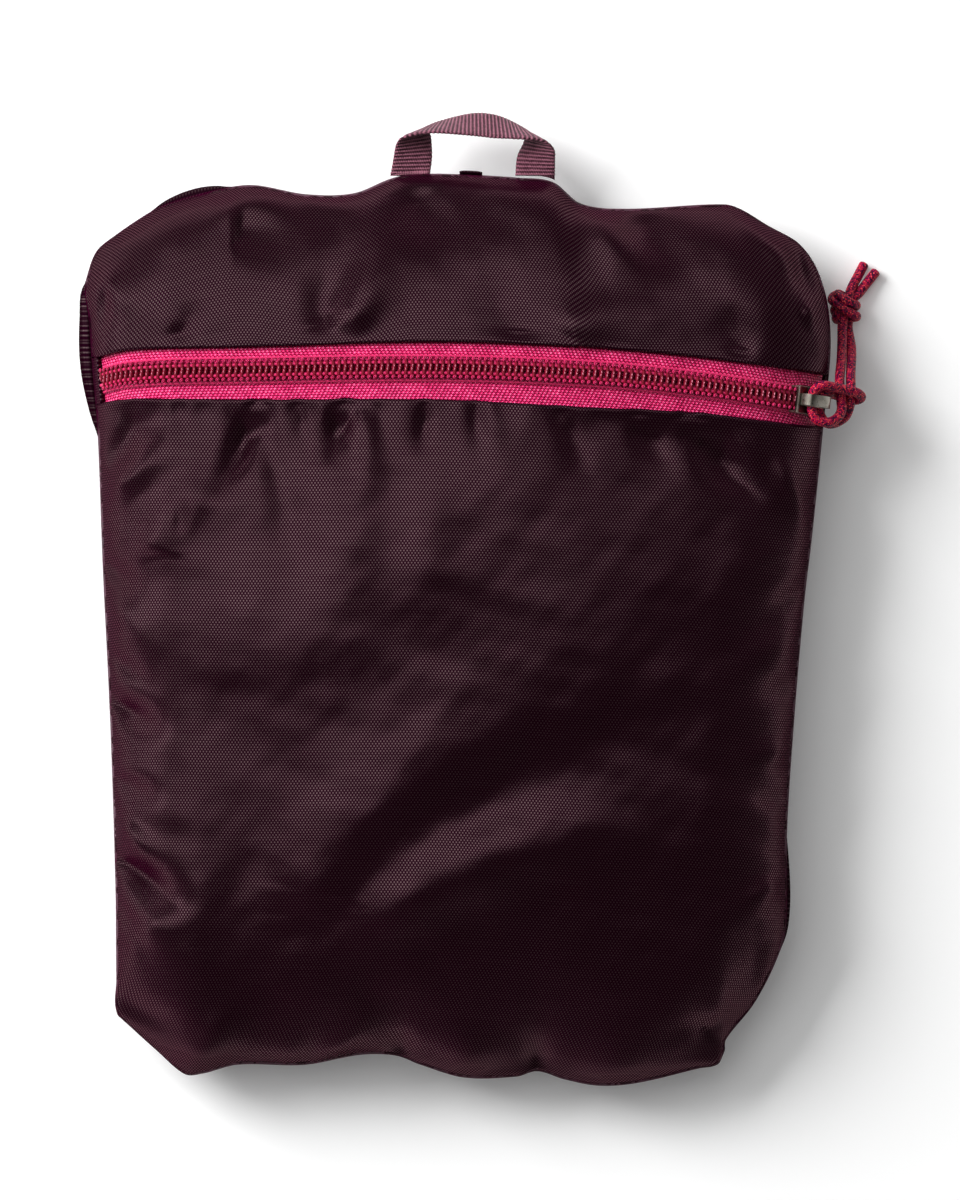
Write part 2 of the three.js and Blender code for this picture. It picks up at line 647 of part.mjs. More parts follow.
// Solid for joining and cutting, from a geometry moved into place
function toSolid(geometry, matrix) {
  const plain = geometry.clone();
  plain.deleteAttribute('normal');
  plain.deleteAttribute('uv');
  if (matrix) plain.applyMatrix4(matrix);
  const merged = mergeVertices(plain, 1e-4);
  const triVerts = new Uint32Array(merged.index.array);
  const vertProperties = new Float32Array(merged.attributes.position.array);
  return new wasm.Manifold(new wasm.Mesh({ numProp: 3, vertProperties, triVerts }));
}

// Geometry from a joined or cut solid
function toGeometry(solid) {
  const mesh = solid.getMesh();
  const geometry = new THREE.BufferGeometry();
  geometry.setAttribute('position', new THREE.Float32BufferAttribute(mesh.vertProperties, 3));
  geometry.setIndex([...mesh.triVerts]);
  return geometry;
}

const joinAll = (solids) => toGeometry(solids.reduce((sum, solid) => sum.add(solid)));

// Closed outline through corner points, extruded by a depth along +Z
function extruded(corners, depth) {
  const shape = new THREE.Shape(corners.map(([x, y]) => new THREE.Vector2(x, y)));
  return new THREE.ExtrudeGeometry(shape, { depth, bevelEnabled: false, steps: 1 });
}

// Frame of the slider: X along the chain, Y across it, Z out from the cloth
function sliderFrame() {
  const reach = SLIDER_LENGTH / 4;
  const along = bandPoint(SLIDER_X + reach, 0, 0).sub(bandPoint(SLIDER_X - reach, 0, 0)).normalize();
  const out = normalOf(frontLevel, SLIDER_X, chainY(SLIDER_X));
  const across = out.clone().cross(along).normalize();
  out.crossVectors(along, across);
  return new THREE.Matrix4().makeBasis(along, across, out).setPosition(bandPoint(SLIDER_X, 0, 0));
}

// Metal slider: two plates joined by a post, rims beside the chain and a bridge for the cord
function zipperSlider() {
  const half = SLIDER_LENGTH / 2;
  const tail = SLIDER_TAIL_WIDTH / 2;
  const shoulder = SLIDER_SHOULDER_WIDTH / 2;
  const plateLow = CHAIN_TOP + GAP;
  const plateHigh = plateLow + SLIDER_PLATE;
  const soleHigh = TAPE_BOTTOM - GAP - SLIDER_BEND_ROOM;
  const soleLow = soleHigh - SLIDER_PLATE;
  const outline = [
    [-half, -tail], [half * 0.1, -tail], [half * 0.45, -shoulder], [half * 0.9, -shoulder * 0.94],
    [half, -tail * 0.7], [half * 0.92, 0], [half, tail * 0.7],
    [half * 0.9, shoulder * 0.94], [half * 0.45, shoulder], [half * 0.1, tail], [-half, tail],
  ];
  const lifted = (height) => new THREE.Matrix4().makeTranslation(0, 0, height);
  const rimWidth = (SLIDER_TAIL_WIDTH - CHAIN_WIDTH) / 2 - GAP;
  const rimHeight = plateHigh - CHAIN_BOTTOM;
  const rim = (side) => {
    const box = new THREE.BoxGeometry(SLIDER_LENGTH * 0.6, rimWidth, rimHeight);
    const place = [-SLIDER_LENGTH * 0.2, side * (tail - rimWidth / 2), plateHigh - rimHeight / 2];
    return toSolid(box, new THREE.Matrix4().makeTranslation(...place));
  };
  const postLength = half - POST_START - 0.6;
  const post = new THREE.BoxGeometry(postLength, SLIDER_POST_WIDTH, plateHigh - soleLow);
  const postPlace = [POST_START + postLength / 2, 0, (plateHigh + soleLow) / 2];
  const solids = [
    toSolid(extruded(outline, SLIDER_PLATE), lifted(plateLow)),
    toSolid(extruded(outline.map(([x, y]) => [x, y * 0.9]), SLIDER_PLATE), lifted(soleLow)),
    toSolid(post, new THREE.Matrix4().makeTranslation(...postPlace)),
    rim(1),
    rim(-1),
    toSolid(bridgeArch(plateHigh), new THREE.Matrix4()),
  ];
  return joinAll(solids).applyMatrix4(sliderFrame());
}

// Bridge over the slider: an arch along the chain with room below it for the cord
function bridgeArch(base) {
  const half = SLIDER_LENGTH * 0.42;
  const inside = BRIDGE_INSIDE;
  const outside = inside + BRIDGE_BAR;
  const sink = SLIDER_PLATE / 2;
  const corners = [
    [-half, -sink], [-half, outside * 0.7], [-half * 0.85, outside * 0.95], [-half * 0.6, outside],
    [half * 0.6, outside], [half * 0.85, outside * 0.93], [half, outside * 0.65], [half, -sink],
    [half - BRIDGE_BAR, -sink], [half - BRIDGE_BAR, inside * 0.8], [half * 0.62, inside],
    [-half * 0.62, inside], [-half + BRIDGE_BAR, inside * 0.8], [-half + BRIDGE_BAR, -sink],
  ];
  const arch = extruded(corners, BRIDGE_WIDTH);
  arch.translate(0, 0, -BRIDGE_WIDTH / 2);
  arch.rotateX(Math.PI / 2);
  return arch.translate(0, 0, base);
}

// Haul loop: its middle line as shares of LOOP_SPAN and LOOP_RISE from the left foot, its height
// above the seam as a share of the webbing's width, how far it has turned over in degrees,
// and how much of its width then points up the pouch
const LOOP_LINE = table(['along', 'rise', 'lift', 'turn', 'lean'], [
  [0.000, -0.050, 0.00, 0, 0.30],
  [0.022, 0.250, 0.04, 10, 0.30],
  [0.032, 0.556, 0.10, 30, 0.35],
  [0.055, 0.680, 0.16, 54, 0.26],
  [0.204, 0.779, 0.22, 76, 0.30],
  [0.484, 0.822, 0.26, 90, 0.55],
  [0.660, 0.796, 0.27, 92, 0.60],
  [0.812, 0.740, 0.25, 97, 0.48],
  [0.980, 0.640, 0.18, 114, 0.28],
  [1.030, 0.474, 0.10, 138, 0.24],
  [1.010, 0.237, 0.04, 165, 0.30],
  [1.004, -0.050, 0.00, 180, 0.30],
]);
const LOOP_LEFT_FOOT = xAt(-0.059);

// Webbing ribbon that stands up from the top seam and turns over on the way
function haulLoop() {
  const steps = 30;
  const share = (column) => {
    const spline = new THREE.CatmullRomCurve3(LOOP_LINE.map((row, k) => new THREE.Vector3(k, row[column], 0)));
    return (t) => spline.getPoint(t).y;
  };
  const [along, rise, lift, turn, lean] = ['along', 'rise', 'lift', 'turn', 'lean'].map(share);
  const footY = (x) => topY(x, 0) + GAP * 2.5;
  const edges = Array.from({ length: steps + 1 }, (_, k) => {
    const t = k / steps;
    const angle = THREE.MathUtils.degToRad(clamp(turn(t), 0, 180));
    const sweep = Math.sqrt(1 - lean(t) ** 2);
    const across = new THREE.Vector3(Math.cos(angle), lean(t) * Math.sin(angle), -sweep * Math.sin(angle));
    const x = LOOP_LEFT_FOOT + along(t) * LOOP_SPAN;
    const middle = new THREE.Vector3(x, TOP_Y + rise(t) * LOOP_RISE, SEAM_LEVEL + lift(t) * WEBBING_WIDTH);
    return [-0.5, 0.5].map((s) => middle.clone().addScaledVector(across, s * WEBBING_WIDTH));
  });
  const face = (height) => edges.map((pair, k) => pair.map((edge) => {
    const before = edges[Math.max(k - 1, 0)];
    const after = edges[Math.min(k + 1, steps)];
    const along3 = after[0].clone().add(after[1]).sub(before[0]).sub(before[1]);
    const normal = pair[1].clone().sub(pair[0]).cross(along3).normalize();
    const point = edge.clone().addScaledVector(normal, height);
    if (k === 0 || k === steps) point.y = footY(point.x);
    return point;
  }));
  return bodyBetween(face(WEBBING_THICKNESS / 2), face(-WEBBING_THICKNESS / 2));
}

// Hang tab: a folded strip that stands against the back cloth behind the top edge
function hangTab() {
  const centre = xAt(0.022);
  const levels = [0.36, 0.5, 0.65, 0.8, 0.92].map((share) => share * SEAM_LEVEL);
  const wallY = (x, z) => {
    const share = 1 - z / (SEAM_LEVEL - GAP);
    return topY(x, 1) - UNDER_ROLL * (1 - Math.sqrt(1 - share ** 2));
  };
  const layer = (distance) => levels.map((z) => [-0.5, 0, 0.5].map((s) => {
    const x = centre + s * HANG_TAB_WIDTH;
    return new THREE.Vector3(x, wallY(x, z) + distance, z);
  }));
  return bodyBetween(layer(GAP * 1.5 + HANG_TAB_THICKNESS), layer(GAP * 1.5));
}

// Route of the cord: up the first leg from the knot, under the bridge, round the bight,
// back under the bridge and down the second leg. Points chosen by hand, in millimetres.
const CORD_ROUTE = [
  [102.2, 72.3, 6.1],
  [102.1, 68.5, 8.6],
  [101.8, 63.0, 13.4],
  [101.3, 58.5, 17.8],
  [101.3, 55.5, 20.5],
  [101.6, 52.4, 21.9],
  [101.6, 49.6, 23.5],
  [100.2, 47.5, 25.0],
  [97.9, 46.6, 26.6],
  [95.2, 47.3, 27.4],
  [93.9, 49.6, 27.5],
  [93.9, 52.2, 27.5],
  [94.5, 55.0, 27.9],
  [96.4, 56.2, 28.0],
  [98.8, 56.0, 26.6],
  [101.4, 55.4, 24.7],
  [103.9, 54.9, 23.3],
  [105.9, 54.3, 21.9],
  [106.9, 53.3, 19.8],
  [105.7, 52.6, 17.5],
  [103.3, 52.9, 16.3],
  [100.8, 53.7, 16.6],
  [98.8, 54.4, 18.7],
  [98.9, 55.0, 22.8],
  [97.2, 54.6, 24.6],
  [95.9, 52.6, 25.6],
  [95.7, 50.0, 25.6],
  [96.4, 47.9, 24.6],
  [97.9, 46.4, 22.7],
  [100.0, 46.5, 20.7],
  [102.7, 48.2, 19.8],
  [104.0, 51.6, 19.6],
  [104.2, 55.2, 19.0],
  [104.2, 58.8, 16.2],
  [104.5, 66.4, 8.2],
  [103.7, 72.1, 3.4],
];

// Knot of the cord where it lies on the ground, and the far ends of its two tails
const KNOT_CENTRE = new THREE.Vector3(102.8, 77.2, 4.1);
const KNOT_WIDTH = 8.8;
const KNOT_HEIGHT = 7.6;
const TAIL_ENDS = [[108.2, 88.9, 1.5], [111.4, 86.9, 1.5]];

// Round tube along a smooth curve, closed at both ends
function cordTube(points, steps) {
  const path = new THREE.CatmullRomCurve3(points, false, 'centripetal');
  const sides = 8;
  const radius = CORD_DIAMETER / 2;
  const shape = new THREE.Shape(evenShares(sides).slice(0, sides).map((t) => {
    return new THREE.Vector2(radius * Math.cos(2 * Math.PI * t), radius * Math.sin(2 * Math.PI * t));
  }));
  return new THREE.ExtrudeGeometry(shape, { extrudePath: path, steps, bevelEnabled: false });
}

const pullCord = () => cordTube(CORD_ROUTE.map((point) => new THREE.Vector3(...point)), 52);

// Outer form of the overhand knot, with the two tails that leave it
function pullCordKnot() {
  const half = KNOT_WIDTH / 2;
  const profile = evenShares(8).map((t) => {
    const angle = Math.PI * (t - 0.5);
    const squared = Math.sign(Math.sin(angle)) * Math.abs(Math.sin(angle)) ** 0.8;
    return new THREE.Vector2(half * Math.cos(angle), (KNOT_HEIGHT / 2) * squared);
  });
  profile[0].x = 0;
  profile[profile.length - 1].x = 0;
  const lump = new THREE.LatheGeometry(profile, 14);
  lump.rotateX(Math.PI / 2).translate(...KNOT_CENTRE.toArray());
  const tails = TAIL_ENDS.map((end) => {
    const far = new THREE.Vector3(...end);
    const middle = KNOT_CENTRE.clone().lerp(far, 0.6);
    middle.z = mix(KNOT_CENTRE.z, far.z, 0.85);
    return toSolid(cordTube([KNOT_CENTRE, middle, far], 4));
  });
  return joinAll([toSolid(lump), ...tails]);
}

// Materials
const plum = new THREE.MeshStandardMaterial({ color: 0x2e1b26, roughness: 0.62, metalness: 0 });
const darkPlum = new THREE.MeshStandardMaterial({ color: 0x22131d, roughness: 0.7, metalness: 0 });
const hotPink = new THREE.MeshStandardMaterial({ color: 0xd02a6c, roughness: 0.8, metalness: 0 });
const crimson = new THREE.MeshStandardMaterial({ color: 0xb80d4a, roughness: 0.35, metalness: 0 });
const gunmetal = new THREE.MeshStandardMaterial({ color: 0x4a4644, roughness: 0.38, metalness: 1 });
const braid = new THREE.MeshStandardMaterial({ color: 0xb3264c, roughness: 0.75, metalness: 0 });
const mauve = new THREE.MeshStandardMaterial({ color: 0x7c4660, roughness: 0.8, metalness: 0 });

const backpack = new THREE.Group();

function addPiece(name, geometry, material) {
  const mesh = new THREE.Mesh(geometry, material);
  mesh.name = name;
  backpack.add(mesh);
}

addPiece('back_panel', backPanel(), darkPlum);
addPiece('front_lower_panel', frontLowerPanel(), plum);
addPiece('front_upper_panel', frontUpperPanel(), plum);
addPiece('folded_pack', foldedPack(), darkPlum);
addPiece('zipper_tape_upper', zipperTape(1), hotPink);
addPiece('zipper_tape_lower', zipperTape(-1), hotPink);
addPiece('zipper_coil_upper', zipperCoil(1), crimson);
addPiece('zipper_coil_lower', zipperCoil(-1), crimson);
addPiece('zipper_end_tab', zipperEndTab(), darkPlum);
addPiece('zipper_slider', zipperSlider(), gunmetal);
addPiece('pull_cord', pullCord(), braid);
addPiece('pull_cord_knot', pullCordKnot(), braid);
addPiece('haul_loop', haulLoop(), mauve);
addPiece('hang_tab', hangTab(), darkPlum);

export default backpack;
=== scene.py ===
import math

import bpy
import numpy as np
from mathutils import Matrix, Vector


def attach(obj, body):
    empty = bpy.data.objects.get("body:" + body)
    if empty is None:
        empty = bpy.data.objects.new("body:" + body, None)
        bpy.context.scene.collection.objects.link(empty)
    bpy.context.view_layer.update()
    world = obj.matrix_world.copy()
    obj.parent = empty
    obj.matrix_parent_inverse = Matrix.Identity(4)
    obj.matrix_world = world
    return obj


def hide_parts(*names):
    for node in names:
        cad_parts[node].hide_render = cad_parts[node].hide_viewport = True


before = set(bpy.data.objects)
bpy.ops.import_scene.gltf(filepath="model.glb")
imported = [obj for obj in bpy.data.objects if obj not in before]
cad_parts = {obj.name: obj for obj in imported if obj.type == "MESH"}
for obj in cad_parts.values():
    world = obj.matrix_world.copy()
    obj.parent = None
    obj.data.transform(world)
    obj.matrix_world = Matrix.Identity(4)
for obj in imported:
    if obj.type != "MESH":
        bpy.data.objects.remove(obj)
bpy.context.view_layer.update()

# Driving dimensions of the pouch, in metres
WIDTH = 0.198
HEIGHT = 0.240
SEAM_LEVEL = 0.014
SHOULDER_RISE = 0.016
CROWN_RISE = 0.016
SIDE_ROLL = 0.024
END_ROLL = 0.034
UNDER_ROLL = 0.016
CLOTH = 0.0012
SEAM_EDGE = 0.0006
GAP = 0.0003

# Driving dimensions of the folded pack inside
PACK_INSET = 0.011
PACK_CLEARANCE = 0.0062
PACK_LAYERS = 9

# Driving dimensions of the zipper
TAPE_THICKNESS = 0.0009
TAPE_CLEARANCE = 0.00045
TAPE_REACH = 0.013
TAPE_PARTING = 0.0006
TAPE_TUCK = 0.0018
CHAIN_HEIGHT = 0.0017
TOOTH_PITCH = 0.0016
END_TAB_WIDTH = 0.0014

# Driving dimensions of the slider
SLIDER_LENGTH = 0.0102
SLIDER_PLATE = 0.0009
SLIDER_TAIL_WIDTH = 0.0072
SLIDER_SHOULDER_WIDTH = 0.0094
SLIDER_BEND_ROOM = 0.0009
SLIDER_POST_WIDTH = 0.0011
CHAIN_WIDTH = 0.0054
BRIDGE_WIDTH = 0.0029
BRIDGE_BAR = 0.001
BRIDGE_INSIDE = 0.0031

# Driving dimensions of the cord, the haul loop and the hang tab
CORD_DIAMETER = 0.0025
WEBBING_WIDTH = 0.010
WEBBING_THICKNESS = 0.0013
LOOP_RISE = 0.0155
LOOP_SPAN = 0.0328
HANG_TAB_WIDTH = 0.006
HANG_TAB_THICKNESS = 0.0012

# Levels across the zipper band, measured out from the front cloth's outer face
TAPE_TOP = -(CLOTH + TAPE_CLEARANCE)
TAPE_BOTTOM = TAPE_TOP - TAPE_THICKNESS
CHAIN_BOTTOM = TAPE_TOP + GAP
CHAIN_TOP = CHAIN_BOTTOM + CHAIN_HEIGHT

TOP_Y = (HEIGHT - LOOP_RISE) / 2
BOTTOM_Y = TOP_Y - HEIGHT

# Camera: how far above the ground it hangs, and the width and length that it frames
CAMERA_HEIGHT = 5.2
CAMERA_CENTRE = (0.00675, 0.0)
FRAMED_LENGTH = 0.315
SUBJECT_LEVEL = 0.024


def table(columns, rows):
    """Rows of numbers as named columns."""
    values = np.array(rows, float)
    return {name: values[:, k] for k, name in enumerate(columns.split())}


# Left side of the pouch: height from the bottom as a share of HEIGHT, reach as a share of WIDTH
LEFT_SIDE = table("up across", [
    (0.013, -0.359), (0.051, -0.413), (0.077, -0.447), (0.118, -0.449), (0.211, -0.450),
    (0.396, -0.457), (0.568, -0.467), (0.718, -0.474), (0.787, -0.481), (0.842, -0.486),
    (0.871, -0.491), (0.893, -0.486), (0.916, -0.474), (0.931, -0.452), (0.957, -0.405),
    (0.978, -0.330),
])

# Right side of the pouch, in the same shares
RIGHT_SIDE = table("up across", [
    (0.013, 0.305), (0.023, 0.351), (0.038, 0.359), (0.051, 0.361), (0.090, 0.398),
    (0.138, 0.428), (0.176, 0.441), (0.279, 0.442), (0.396, 0.451), (0.531, 0.465),
    (0.600, 0.475), (0.729, 0.491), (0.819, 0.500), (0.882, 0.488), (0.925, 0.455),
    (0.960, 0.382), (0.966, 0.350),
])

# Top edge of the pouch: place across as a share of WIDTH, height as a share of HEIGHT
TOP_EDGE = table("across up", [
    (-0.474, 0.915), (-0.452, 0.931), (-0.405, 0.957), (-0.379, 0.967), (-0.315, 0.982),
    (-0.267, 0.987), (-0.197, 0.977), (-0.134, 0.978), (-0.085, 0.994), (-0.056, 0.999),
    (0.002, 0.999), (0.087, 0.995), (0.132, 0.990), (0.167, 0.967), (0.225, 0.961),
    (0.358, 0.966), (0.382, 0.960), (0.416, 0.943), (0.455, 0.925), (0.475, 0.908),
])

# Bottom edge of the pouch, in the same shares
BOTTOM_EDGE = table("across up", [
    (-0.447, 0.077), (-0.396, 0.039), (-0.359, 0.013), (-0.336, 0.013), (-0.288, 0.023),
    (-0.199, 0.023), (-0.124, 0.034), (-0.077, 0.033), (-0.045, 0.023), (0.013, 0.009),
    (0.083, 0.010), (0.110, 0.016), (0.146, 0.007), (0.192, 0.000), (0.243, 0.003),
    (0.325, 0.019), (0.351, 0.024), (0.359, 0.038), (0.375, 0.065), (0.398, 0.090),
])

# Zipper band: the chain's line, and how far the two cloth edges stand off from it
ZIPPER_LINE = table("across up above below", [
    (-0.500, 0.766, 0.0290, 0.0250), (-0.434, 0.779, 0.0280, 0.0300),
    (-0.270, 0.7835, 0.0272, 0.0350), (-0.019, 0.786, 0.0302, 0.0372),
    (0.179, 0.780, 0.0300, 0.0400), (0.326, 0.768, 0.0312, 0.0345),
    (0.458, 0.7515, 0.0335, 0.0300), (0.500, 0.7465, 0.0330, 0.0270),
])

# Where the back cloth stands proud of the front: start and end along that side, and reach
BACK_PROUD = {
    "left": (0.715, 0.880, 0.016),
    "top": (-0.400, -0.300, 0.009),
    "right": (0.150, 0.270, 0.004),
}

# Folds of the lower panel: ends across and up, half width and height as shares of WIDTH,
# and how sharp the line is. A negative height is a crease.
LOWER_FOLDS = table("across1 up1 across2 up2 across3 up3 half height sharp lean rise", [
    (-0.26, 0.749, -0.284, 0.696, -0.342, 0.62, 0.017, -0.025, 0.5, 0.5, 0),
    (-0.255, 0.749, -0.238, 0.675, -0.205, 0.576, 0.016, -0.007, 0.2, 0, 0),
    (-0.142, 0.749, -0.154, 0.718, -0.175, 0.675, 0.015, -0.023, 0.5, 0.6, 0),
    (-0.138, 0.749, -0.114, 0.696, -0.117, 0.62, 0.017, 0.01, 0.1, -0.3, 0.3),
    (-0.205, 0.749, -0.199, 0.718, -0.189, 0.675, 0.011, -0.008, 0.5, 0.2, 0),
    (-0.187, 0.749, -0.181, 0.729, -0.165, 0.691, 0.008, -0.006, 0.5, 0.2, 0),
    (-0.039, 0.749, -0.04, 0.718, -0.052, 0.675, 0.011, -0.01, 0.4, 0, 0),
    (0.027, 0.747, 0.031, 0.718, 0.041, 0.68, 0.012, -0.008, 0.4, 0, 0),
    (0.14, 0.745, 0.16, 0.707, 0.193, 0.642, 0.016, -0.01, 0.3, 0, 0),
    (0.246, 0.738, 0.266, 0.702, 0.312, 0.653, 0.019, -0.01, 0.3, 0.2, 0),
    (0.312, 0.734, 0.366, 0.675, 0.448, 0.609, 0.023, -0.025, 0.25, 0.3, 0),
    (0.419, 0.691, 0.456, 0.642, 0.474, 0.576, 0.015, 0.012, 0.2, 0, 0.3),
    (-0.423, 0.749, -0.43, 0.724, -0.446, 0.696, 0.011, -0.009, 0.4, 0.2, 0),
    (-0.364, 0.749, -0.366, 0.735, -0.374, 0.707, 0.009, -0.006, 0.4, 0, 0),
    (-0.464, 0.633, -0.417, 0.677, -0.317, 0.724, 0.019, 0.017, 0.1, 0, 0.3),
    (-0.459, 0.675, -0.43, 0.707, -0.37, 0.735, 0.013, -0.013, 0.2, 0, 0.3),
    (-0.403, 0.576, -0.377, 0.62, -0.255, 0.718, 0.027, 0.012, 0, 0.2, 0.3),
    (-0.369, 0.598, -0.361, 0.631, -0.366, 0.664, 0.009, -0.006, 0.5, 0, 0.3),
    (-0.165, 0.718, -0.138, 0.576, -0.165, 0.423, 0.045, 0.009, 0, 0, 0.3),
    (-0.224, 0.718, -0.218, 0.598, -0.205, 0.467, 0.027, -0.007, 0, 0, 0.3),
    (-0.045, 0.718, -0.032, 0.576, -0.045, 0.467, 0.034, 0.006, 0, 0, 0.3),
    (-0.472, 0.576, -0.446, 0.56, -0.403, 0.532, 0.016, -0.02, 0.4, 0.2, 0),
    (-0.47, 0.532, -0.437, 0.51, -0.37, 0.467, 0.021, 0.014, 0.1, 0, 0.3),
    (-0.463, 0.472, -0.43, 0.456, -0.384, 0.423, 0.013, -0.014, 0.3, 0, 0),
    (-0.459, 0.423, -0.423, 0.407, -0.38, 0.377, 0.019, -0.032, 0.4, 0.4, 0),
    (-0.456, 0.341, -0.423, 0.325, -0.384, 0.314, 0.016, -0.017, 0.3, 0.3, 0),
    (-0.454, 0.292, -0.423, 0.27, -0.403, 0.226, 0.013, 0.013, 0.1, 0, 0.3),
    (-0.452, 0.248, -0.403, 0.226, -0.356, 0.177, 0.02, -0.035, 0.4, 0.4, 0),
    (-0.451, 0.199, -0.43, 0.177, -0.39, 0.111, 0.015, -0.016, 0.3, 0.2, 0),
    (-0.443, 0.155, -0.403, 0.171, -0.337, 0.204, 0.019, 0.012, 0, 0, 0.3),
    (0.474, 0.549, 0.438, 0.532, 0.379, 0.505, 0.016, -0.013, 0.3, 0, 0),
    (0.474, 0.51, 0.432, 0.478, 0.352, 0.456, 0.024, 0.013, 0, 0, 0.3),
    (0.469, 0.434, 0.432, 0.434, 0.385, 0.423, 0.013, -0.012, 0.3, 0, 0),
    (0.458, 0.374, 0.425, 0.363, 0.372, 0.357, 0.019, 0.014, 0.1, 0, 0.3),
    (0.452, 0.314, 0.419, 0.314, 0.379, 0.319, 0.013, -0.013, 0.3, 0, 0),
    (0.442, 0.226, 0.405, 0.204, 0.379, 0.16, 0.019, 0.013, 0.1, 0, 0.3),
    (-0.364, 0.532, -0.205, 0.489, -0.045, 0.532, 0.08, 0.008, 0, 0, 0.3),
    (-0.191, 0.16, -0.105, 0.314, 0.246, 0.467, 0.061, 0.02, 0, -0.25, 0.25),
    (-0.072, 0.259, 0.14, 0.352, 0.405, 0.417, 0.053, -0.011, 0, 0, 0.3),
    (-0.171, 0.139, 0.061, 0.25, 0.392, 0.297, 0.048, 0.023, 0, -0.3, 0.3),
    (-0.403, 0.095, -0.35, 0.248, -0.178, 0.423, 0.08, 0.008, 0, 0, 0.3),
    (-0.317, 0.718, -0.321, 0.423, -0.291, 0.095, 0.166, 0.011, 0, 0, 0.15),
    (-0.072, -0.047, 0.14, 0.013, 0.458, 0.084, 0.172, -0.015, 0, 0, 0.1),
    (-0.178, 0.002, -0.145, 0.046, -0.092, 0.095, 0.02, 0.011, 0.2, 0, 0.3),
    (-0.205, 0.002, -0.191, 0.029, -0.185, 0.073, 0.016, -0.009, 0.2, 0, 0),
    (-0.065, 0.018, -0.072, 0.04, -0.072, 0.084, 0.016, -0.015, 0.3, 0, 0),
    (0.021, 0.01, 0.021, 0.04, 0.034, 0.084, 0.032, 0.012, 0, 0, 0.3),
    (0.111, 0.01, 0.107, 0.035, 0.1, 0.073, 0.016, -0.013, 0.3, 0, 0),
    (0.22, 0.002, 0.22, 0.029, 0.206, 0.084, 0.04, 0.01, 0, 0, 0.3),
    (0.359, 0.04, 0.332, 0.062, 0.299, 0.106, 0.016, -0.015, 0.3, 0.2, 0),
    (-0.35, 0.013, -0.317, 0.051, -0.258, 0.111, 0.029, 0.015, 0.1, 0, 0.3),
    (-0.443, 0.084, -0.39, 0.073, -0.297, 0.051, 0.021, -0.012, 0.1, 0, 0),
])

# Folds of the upper panel, in the same columns
UPPER_FOLDS = table("across1 up1 across2 up2 across3 up3 half height sharp lean rise", [
    (-0.152, 0.817, -0.114, 0.877, -0.067, 0.957, 0.027, 0.014, 0.1, 0, 0.3),
    (-0.165, 0.822, -0.171, 0.871, -0.138, 0.953, 0.024, -0.012, 0.1, 0, 0.3),
    (-0.295, 0.942, -0.258, 0.937, -0.165, 0.915, 0.032, -0.015, 0.1, 0, 0.3),
    (-0.337, 0.964, -0.255, 0.961, -0.165, 0.953, 0.027, 0.008, 0, 0, 0.3),
    (-0.218, 0.975, -0.165, 0.97, -0.112, 0.959, 0.016, 0.01, 0.1, 0, 0.3),
    (-0.059, 0.992, -0.032, 0.953, 0.061, 0.935, 0.034, -0.015, 0.1, 0.3, 0.3),
    (0.021, 0.986, 0.1, 0.97, 0.193, 0.937, 0.027, 0.008, 0, 0, 0.3),
    (0.193, 0.97, 0.209, 0.926, 0.273, 0.871, 0.024, 0.015, 0.1, 0.4, 0.3),
    (0.246, 0.97, 0.266, 0.926, 0.326, 0.893, 0.032, -0.013, 0.1, 0, 0.3),
    (0.14, 0.822, 0.193, 0.839, 0.326, 0.828, 0.027, 0.007, 0, 0, 0.3),
    (0.372, 0.957, 0.425, 0.921, 0.462, 0.869, 0.016, 0.016, 0.3, 0.3, 0.3),
    (0.458, 0.928, 0.462, 0.893, 0.474, 0.854, 0.013, -0.018, 0.4, 0.3, 0.3),
    (0.458, 0.841, 0.478, 0.844, 0.495, 0.828, 0.016, 0.012, 0.1, 0, 0.3),
    (-0.464, 0.882, -0.464, 0.85, -0.47, 0.811, 0.008, -0.009, 0.4, 0.2, 0.3),
    (-0.48, 0.91, -0.456, 0.871, -0.403, 0.839, 0.019, 0.009, 0.1, 0, 0.3),
    (-0.47, 0.915, -0.403, 0.942, -0.337, 0.959, 0.021, 0.008, 0, 0, 0.3),
    (-0.364, 0.822, -0.35, 0.844, -0.35, 0.871, 0.019, -0.005, 0.2, 0, 0),
    (0.087, 0.819, 0.061, 0.86, 0.021, 0.893, 0.04, -0.006, 0, 0, 0),
    (0.379, 0.806, 0.366, 0.828, 0.326, 0.86, 0.021, -0.008, 0.1, 0, 0),
])

